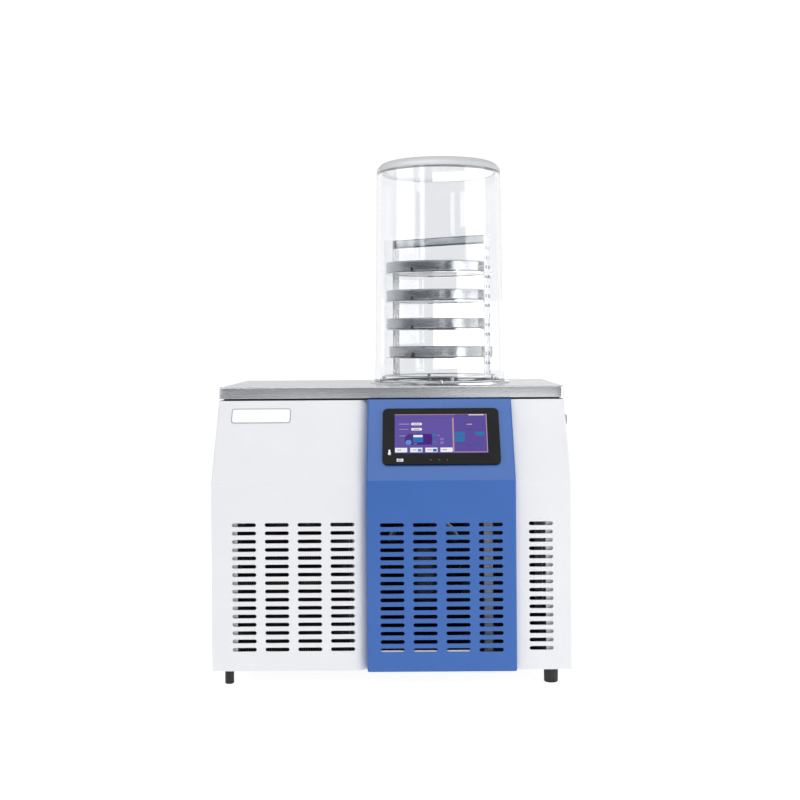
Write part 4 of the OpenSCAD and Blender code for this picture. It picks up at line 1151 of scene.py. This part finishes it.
@dataclass
class RackAndTrays(Assembly):
    """The rack that stands in the jar and its four round trays."""

    tray_radius: float = 97.5  # outside radius of a tray
    tray_wall: float = 1.2  # wall of a tray
    bead: float = 1.1  # radius of the bead round a tray's rim
    foot: float = 3.0  # radius of the corner between a tray's wall and floor
    flat: float = 6.0  # width of the floor's outermost ring of faces

    def tray(self, node: str) -> None:
        """Build one tray with a rounded foot and a rolled rim.

        Args:
            node: The solid that it stands for.
        """
        low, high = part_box(node)
        centre = (low + high) / 2
        r, t, f, b = self.tray_radius, self.tray_wall, self.foot, self.bead
        tall, floor = (high.z - low.z) / MM, r - f - self.flat
        neck = tall - 2 * b - 0.3
        profile = [(0.0, 0.0), (floor, 0.0), *quarter(r - f, f, f, -90, 0, 6), (r, neck)]
        profile += [*quarter(r - t / 2, tall - b, b, -50, 210, 10), (r - t, neck)]
        profile += [*quarter(r - f, f, f - t, 0, -90, 6), (floor, t), (0.0, t)]
        shape = Shape().lathe(profile, Matrix.Translation((centre.x, centre.y, low.z)), 128)
        # Darker than the shelves, so that the trays stand out as bands.
        axis = (centre.x, centre.y)
        steel = SpunSteel("spun_stainless_steel_tray", "#B4B7BA", 0.24, "#AAADB0", centre=axis)
        self.add(shape, node + "_spun", steel, "tray_steel", stands_for=(node,), smooth=40.0)

    def build(self) -> None:
        """Build and dress the rack and trays."""
        self.dress(BRUSHED_Z, "left_upright", "right_upright", "rack_base")
        self.dress(POLISHED, "shelf_1", "shelf_2", "shelf_3", "shelf_4")
        self.dress(SATIN_BAR, "hand_bar")
        for node in ("tray_1", "tray_2", "tray_3", "tray_4"):
            self.tray(node)


class Ink(Enum):
    """Colours that the screen shows."""

    GROUND = "#614EA9"
    PANEL = "#5A46A3"
    VESSEL = "#4A1B84"
    FIELD = "#FFFFFF"
    WATER = "#0070C2"
    DISC = "#5B97D8"
    TEAL = "#0A78B0"
    LINE = "#C99AA8"
    FAINT = "#A99AD0"
    DARK = "#4E3C86"
    GOLD = "#D2B57E"


@dataclass(frozen=True)
class Mark:
    """A flat shape on the screen."""

    x: float  # left edge, from the display's left edge, in millimetres
    y: float  # upper edge, from the display's upper edge
    w: float  # width
    h: float  # height
    corner: float = 0.3  # radius of its corners
    level: float = 1  # which layer it is drawn on


@dataclass
class ScreenUnit(Assembly):
    """The touch screen on the slope: bezel, housing, glass and a generic picture of fields and shapes."""

    width: float = 157.0  # width of the display
    height: float = 75.5  # height of the display
    layer: float = 0.03  # thickness of one layer of the picture
    glass_face: float = 1.0  # height of the glass's face over its middle
    bezel_face: float = 1.75  # height of the bezel's face over its middle
    print_height: float = 0.05  # thickness of the print on the bezel
    # Middle, size and corner radius of each printed sign, from the bezel's middle.
    signs: tuple[tuple[float, ...], ...] = (
        (-69.5, -44.6, 11.5, 2.2, 0.5),
        (-69.5, -47.9, 11.5, 2.2, 0.5),
        (-87.2, -33.6, 4.6, 5.4, 0.8),
        (-87.2, -28.6, 3.0, 5.0, 1.4),
    )
    lamps: tuple[float, ...] = (-18.0, -4.0, 9.5)  # places of the lamps across the bezel
    lamp_down: float = 46.0  # distance of the lamps below the bezel's middle
    # Radius and height of each point of a lamp's dome.
    lamp: Profile = ((0.0, 0.35), (0.6, 0.3), (0.9, 0.0), (0.0, 0.0))
    keys: tuple[float, ...] = (0.7, 26.2, 51.6, 77.0)  # left edges of the keys

    def picture(self) -> dict[Ink, list[Mark]]:
        """Draw a vessel, its values, four keys and a column of readings.

        Returns:
            The marks of each ink.
        """
        marks = {
            Ink.GROUND: [Mark(78.2, 47.4, 3.2, 2.8, 1.4, 2), Mark(78.2, 54.4, 3.2, 2.8, 1.4, 2)],
            Ink.PANEL: [Mark(100.6, 1.3, 54.6, 71.7, 0.1, 0.5)],
            Ink.VESSEL: [Mark(17, 38.5, 46.5, 21, 9.0), Mark(36, 38.5, 27.5, 21, 0.8)],
            Ink.FIELD: [
                Mark(126, 1.2, 26, 1.3, 0.1, 2), Mark(28.2, 16.8, 18, 4.8, 1.6),
                Mark(28.2, 27, 18, 4.8, 1.6), Mark(31.6, 40.6, 15.6, 4.2, 0.8, 3),
            ],
            Ink.WATER: [Mark(31, 41, 17, 14, 0.6, 2)],
            Ink.DISC: [Mark(18.4, 50.2, 10, 9.4, 4.7, 3)],
            Ink.TEAL: [
                Mark(63.5, 37.6, 6, 5.6, 2.6, 2), Mark(63.9, 51.8, 6, 5.6, 2.6, 2),
                Mark(101.8, 35, 16.4, 7.8, 0.4), Mark(101.8, 44.6, 16.4, 9, 0.4),
                Mark(136.6, 35, 15.4, 7, 0.4),
            ],
            Ink.LINE: [
                Mark(0, 0, self.width, 1.1, 0.1), Mark(98, 7, 2.4, 66, 0.2),
                Mark(155.4, 1.2, 1.3, 73.4, 0.2), Mark(100, 73.2, 56.5, 1.2, 0.2),
            ],
            Ink.FAINT: [
                Mark(7, 18.4, 18, 1.6, 0.4), Mark(8, 28.8, 15, 1.2, 0.4), Mark(8, 41.6, 15, 1.3, 0.4),
                Mark(32, 57.2, 6, 1.0, 0.3, 3), Mark(72.5, 41.2, 4, 1.2, 0.4),
                Mark(77.2, 46.5, 5.2, 4.6, 2.2), Mark(77.2, 53.5, 5.2, 4.6, 2.2),
            ],
            Ink.DARK: [
                Mark(103, 0.6, 22, 1.4, 0.1, 2), Mark(0.5, 7, 97, 0.7, 0.1),
                Mark(31, 18.6, 12, 1.2, 0.3, 2), Mark(32, 28.8, 10, 1.2, 0.3, 2),
                Mark(101, 15.4, 53, 0.6, 0.1), Mark(101, 31.2, 53, 0.6, 0.1), Mark(122, 29.6, 10, 1.2, 0.3),
                Mark(101, 59.2, 53, 0.6, 0.1), Mark(122, 61.4, 12, 0.9, 0.3), Mark(121, 66.2, 14, 0.9, 0.3),
            ],
            Ink.GOLD: [Mark(122.5, 19.4, 9, 1.8, 0.5)],
        }
        for x in self.keys:
            marks[Ink.FIELD].append(Mark(x, 65.2, 20.4, 8.6, 0.5))
            marks[Ink.DARK].append(Mark(x + 3.4, 68.8, 7.4, 1.2, 0.3, 2))
        for ink, x in zip((Ink.DISC, Ink.TEAL), self.keys[1:3]):
            marks[ink].append(Mark(x + 12.6, 67.4, 6.6, 5.4, 1.0, 2))
        return marks

    def face(self, node: str, height: float) -> Matrix:
        """Return the place over the middle of a flat solid on the slope.

        Args:
            node: The solid.
            height: Height over its middle.

        Returns:
            The place, with z out of the slope.
        """
        low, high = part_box(node)
        return Matrix.Translation((low + high) / 2) @ Slope().turn() @ Matrix.Translation(lift(height))

    def build(self) -> None:
        """Dress the solids and lay the picture on the glass."""
        self.dress(BLACK_ABS, "screen_bezel")
        self.dress(GREY_PLASTIC, "screen_housing")
        # Violet light from under a black, nearly reflection-free face.
        self.dress(DisplayGlass("display_glass_violet", Ink.GROUND.value, 0.14), "screen_glass")
        face = self.face("screen_glass", self.glass_face)
        for ink, marks in self.picture().items():
            shape = Shape()
            for mark in marks:
                corner = min(mark.corner, mark.w / 2 - 0.01, mark.h / 2 - 0.01)
                x = mark.x + mark.w / 2 - self.width / 2
                y = self.height / 2 - mark.y - mark.h / 2
                outline = rounded(mark.w * MM, mark.h * MM, corner * MM, 5)
                place = face @ Matrix.Translation((x * MM, y * MM, 0))
                shape.plate(outline, mark.level * self.layer, place)
            name = ink.name.lower()
            lit = DisplayGlass("display_ink_" + name, ink.value, 0.16)
            self.add(shape, "screen_" + name, lit, "display_glass")
        self.bezel_signs()

    def bezel_signs(self) -> None:
        """Build the bezel's small icons: a card slot mark, a generic sign and three lamps."""
        face = self.face("screen_bezel", self.bezel_face)
        signs, lamps = Shape(), Shape()
        for x, y, w, h, r in self.signs:
            place = face @ Matrix.Translation((x * MM, y * MM, 0))
            signs.plate(rounded(w * MM, h * MM, r * MM, 4), self.print_height, place)
        pale = PrintedFilm("screen_print_pale_blue", "#B8C6DA", 0.4)  # the only light marks on the bezel
        self.add(signs, "bezel_signs", pale, "bezel_black")
        for x in self.lamps:
            lamps.lathe(self.lamp, face @ Matrix.Translation((x * MM, -self.lamp_down * MM, 0)), 16)
        self.add(lamps, "bezel_lamps", GREY_PLASTIC, "bezel_black")


@dataclass
class Refrigeration(Assembly):
    """The compressor, the condenser with its fan, and their pipes."""

    fin_pitch: float = 3.0  # spacing of the condenser's fins
    fin_sheet: float = 0.25  # thickness of a fin
    fin_corner: float = 0.5  # radius of a fin's corners

    def fins(self) -> None:
        """Build the condenser's pack of thin fins."""
        low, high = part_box("condenser_fins")
        middle, pitch = (low + high) / 2, self.fin_pitch * MM
        count = int((high.x - low.x) / pitch)
        start = middle.x - (count - 1) / 2 * pitch
        turn = Matrix.Rotation(RIGHT_ANGLE, 4, "Y")
        outline = rounded(high.z - low.z, high.y - low.y, self.fin_corner * MM, 1)
        shape = Shape()
        for i in range(count):
            place = Matrix.Translation((start + i * pitch, middle.y, middle.z)) @ turn
            shape.plate(outline, self.fin_sheet, place)
        self.add(shape, "condenser_fin_pack", FINS_IN_PAINTED_SHADE, "fin_aluminium", stands_for=("condenser_fins",))

    def build(self) -> None:
        """Build and dress the refrigeration plant."""
        self.dress(BLACK_ENAMEL, "compressor", "filter_drier", "fan_motor")
        # The condenser's tube and ends are black as painted shade behind the left slots.
        self.dress(BLACK_ENAMEL, "condenser_tube", "condenser_ends")
        self.dress(BLACK_RUBBER, "compressor_grommets")
        self.dress(DARK_NYLON, "compressor_box", "fan_rotor")
        self.dress(COPPER, "suction_line", "discharge_line", "liquid_line")
        self.dress(ZINC, "fan_shroud")
        self.fins()


@dataclass
class Services(Assembly):
    """The ports, valves, sockets and switch on the cabinet's side and back."""

    def build(self) -> None:
        """Dress the services."""
        self.dress(ZINC, "control_box")
        self.dress(PLATED, "vacuum_port", "drain_valve", "vent_valve", "vacuum_line")
        self.dress(GREY_PLASTIC, "vent_knob")
        self.dress(BLUE_PLASTIC, "drain_lever")
        self.dress(SEAL_RUBBER, "drain_line", "vent_tube")
        self.dress(DARK_NYLON, "mains_inlet", "pump_socket", "switch_frame")
        self.dress(RED_PLASTIC, "switch_rocker")


@dataclass(frozen=True)
class Softbox:
    """A flat white lamp behind a diffuser."""

    name: str
    place: Triple  # where it hangs, in metres
    target: Triple  # what it points at, in metres
    size: Pair  # width and height in metres
    glow: float  # brightness of its face

    def hang(self) -> None:
        """Put the lamp in the scene."""
        lamp = bpy.data.lights.new(self.name, "AREA")
        lamp.shape = "RECTANGLE"
        lamp.size, lamp.size_y = self.size
        lamp.energy = self.glow * math.pi * self.size[0] * self.size[1]
        holder = bpy.data.objects.new(self.name, lamp)
        bpy.context.scene.collection.objects.link(holder)
        holder.location = self.place
        toward = Vector(self.target) - Vector(self.place)
        holder.rotation_euler = toward.to_track_quat("-Z", "Y").to_euler()
        holder.visible_camera = False


@dataclass
class Studio:
    """The pale floor, the soft light and the camera."""

    eye: Triple = (0.0285, -2.196, 0.5766)  # place of the camera in metres
    lens: float = 53.1  # focal length in millimetres
    film: float = 36.0  # width of the sensor in millimetres
    shift: Pair = (-0.0156, -0.075)  # shift of the frame
    roll: float = -0.38  # roll of the camera in degrees
    sight: float = 60.0  # greatest distance that the camera sees, in metres
    front_tone: Colour = (0.20, 0.205, 0.215, 1.0)  # the room in front of the object
    back_tone: Colour = (1.05, 1.05, 1.05, 1.0)  # the room behind the object
    upper_tone: Colour = (0.38, 0.38, 0.39, 1.0)  # the ceiling
    backdrop: float = 1.05  # brightness of the plain backdrop
    turn_limit: float = 1.5  # bounces that a ray straight from the camera through the jar stays under
    # For y and z, the way's range over which one tone gives way to the next.
    fades: tuple[tuple[str, float, float], ...] = (("Y", -0.5, 0.25), ("Z", 0.25, 0.7))
    # Colour, roughness, gloss and glow of the paper on the floor.
    paper: tuple[str, float, float, float] = ("#B0B0B0", 0.9, 0.1, 0.92)
    floor_size: Pair = (3000.0, 20.0)  # radius and thickness of the floor in millimetres
    lamps: tuple[Softbox, ...] = (
        Softbox("window_left", (-2.40, -1.10, 1.45), (0.09, 0.0, 0.75), (1.8, 0.9), 3.2),
        Softbox("window_left_narrow", (-1.25, -2.20, 1.40), (0.09, 0.0, 0.75), (0.4, 0.9), 3.0),
        Softbox("window_right", (2.50, -0.84, 0.95), (0.09, 0.0, 0.75), (2.05, 0.95), 3.3),
        Softbox("window_right_low", (1.72, -1.99, 0.52), (0.09, 0.0, 0.52), (0.82, 0.85), 4.2),
        Softbox("overhead", (0.0, -0.92, 2.27), (0.0, -0.2, 0.41), (2.2, 1.2), 2.2),
        Softbox("low_right", (0.40, -2.50, 0.30), (0.15, -0.2, 0.45), (0.48, 0.3), 2.2),
        Softbox("low_left", (-0.37, -2.50, 0.30), (-0.15, -0.2, 0.45), (0.26, 0.3), 0.8),
        Softbox("back_right", (0.75, 3.0, 0.60), (0.25, 0.0, 0.5), (1.3, 0.3), 1.5),
    )

    def floor(self) -> None:
        """Lay a wide floor of paper that glows a little, so that it is as pale as the backdrop."""
        radius, deep = self.floor_size
        shape = Shape().skin([[p + lift(z) for p in circle(radius * MM, 96)] for z in (-deep, 0.0)])
        floor = shape.piece("floor")
        colour, roughness, gloss, glow = self.paper
        paper = bpy.data.materials.new("seamless_paper_white")
        paper.use_nodes = True
        inputs = paper.node_tree.nodes["Principled BSDF"].inputs
        inputs["Base Color"].default_value = linear(colour)
        inputs["Roughness"].default_value = roughness
        inputs["Specular IOR Level"].default_value = gloss
        inputs["Emission Color"].default_value = linear("#FFFFFF")
        inputs["Emission Strength"].default_value = glow
        floor.data.materials.append(paper)

    def sky(self) -> None:
        """Light the room: bright behind the object and greyer in front of it."""
        world = bpy.data.worlds.new("studio")
        world.use_nodes = True
        tree = world.node_tree
        tree.nodes.clear()
        way = add_node(tree, "ShaderNodeTexCoord").outputs["Generated"]
        split = add_node(tree, "ShaderNodeSeparateXYZ", {0: way})
        tone: object = self.front_tone
        for (axis, start, end), other in zip(self.fades, (self.back_tone, self.upper_tone)):
            inputs = {"Value": split.outputs[axis], "From Min": start, "From Max": end}
            share = add_node(tree, "ShaderNodeMapRange", inputs, interpolation_type="SMOOTHSTEP")
            inputs = {0: share.outputs[0], 6: tone, 7: other}
            tone = add_node(tree, "ShaderNodeMix", inputs, data_type="RGBA").outputs[2]
        room = add_node(tree, "ShaderNodeBackground", {"Color": tone, "Strength": 1.0})
        inputs = {"Color": linear("#FFFFFF"), "Strength": self.backdrop}
        plain = add_node(tree, "ShaderNodeBackground", inputs)
        # The backdrop is plain white where it is seen directly or only through the clear jar.
        ray = add_node(tree, "ShaderNodeLightPath").outputs
        value = ray["Ray Depth"]
        for operation, operand in (
            ("SUBTRACT", ray["Transmission Depth"]),
            ("LESS_THAN", self.turn_limit),
            ("MULTIPLY", ray["Is Transmission Ray"]),
            ("MAXIMUM", ray["Is Camera Ray"]),
        ):
            value = add_node(tree, "ShaderNodeMath", {0: value, 1: operand}, operation=operation).outputs[0]
        both = add_node(tree, "ShaderNodeMixShader", {0: value, 1: room.outputs[0], 2: plain.outputs[0]})
        add_node(tree, "ShaderNodeOutputWorld", {"Surface": both.outputs[0]})
        bpy.context.scene.world = world

    def camera(self) -> None:
        """Set up the camera straight from the front, with a slight roll."""
        lens = bpy.data.cameras.new("camera")
        lens.lens = self.lens
        lens.sensor_width = self.film
        lens.shift_x, lens.shift_y = self.shift
        lens.clip_end = self.sight
        eye = bpy.data.objects.new("camera", lens)
        bpy.context.scene.collection.objects.link(eye)
        level = Euler((RIGHT_ANGLE, 0, 0)).to_matrix().to_4x4()
        turn = level @ Matrix.Rotation(math.radians(self.roll), 4, "Z")
        eye.matrix_world = Matrix.Translation(self.eye) @ turn
        bpy.context.scene.camera = eye

    def build(self) -> None:
        """Build the studio."""
        self.camera()
        self.floor()
        self.sky()
        for lamp in self.lamps:
            lamp.hang()
        bpy.context.scene.view_settings.view_transform = "Standard"


def main() -> None:
    """Build the freeze dryer's looks and the studio."""
    logging.basicConfig(level=logging.INFO, format="%(message)s")
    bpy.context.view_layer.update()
    datum = Datum.from_solids()
    Studio().build()
    for group in (Cabinet, Badge, Worktop, ColdTrap, RackAndTrays, ScreenUnit, Refrigeration, Services):
        log.info("building %s", group.__name__)
        group(datum).build()


if __name__ == "__main__":
    main()
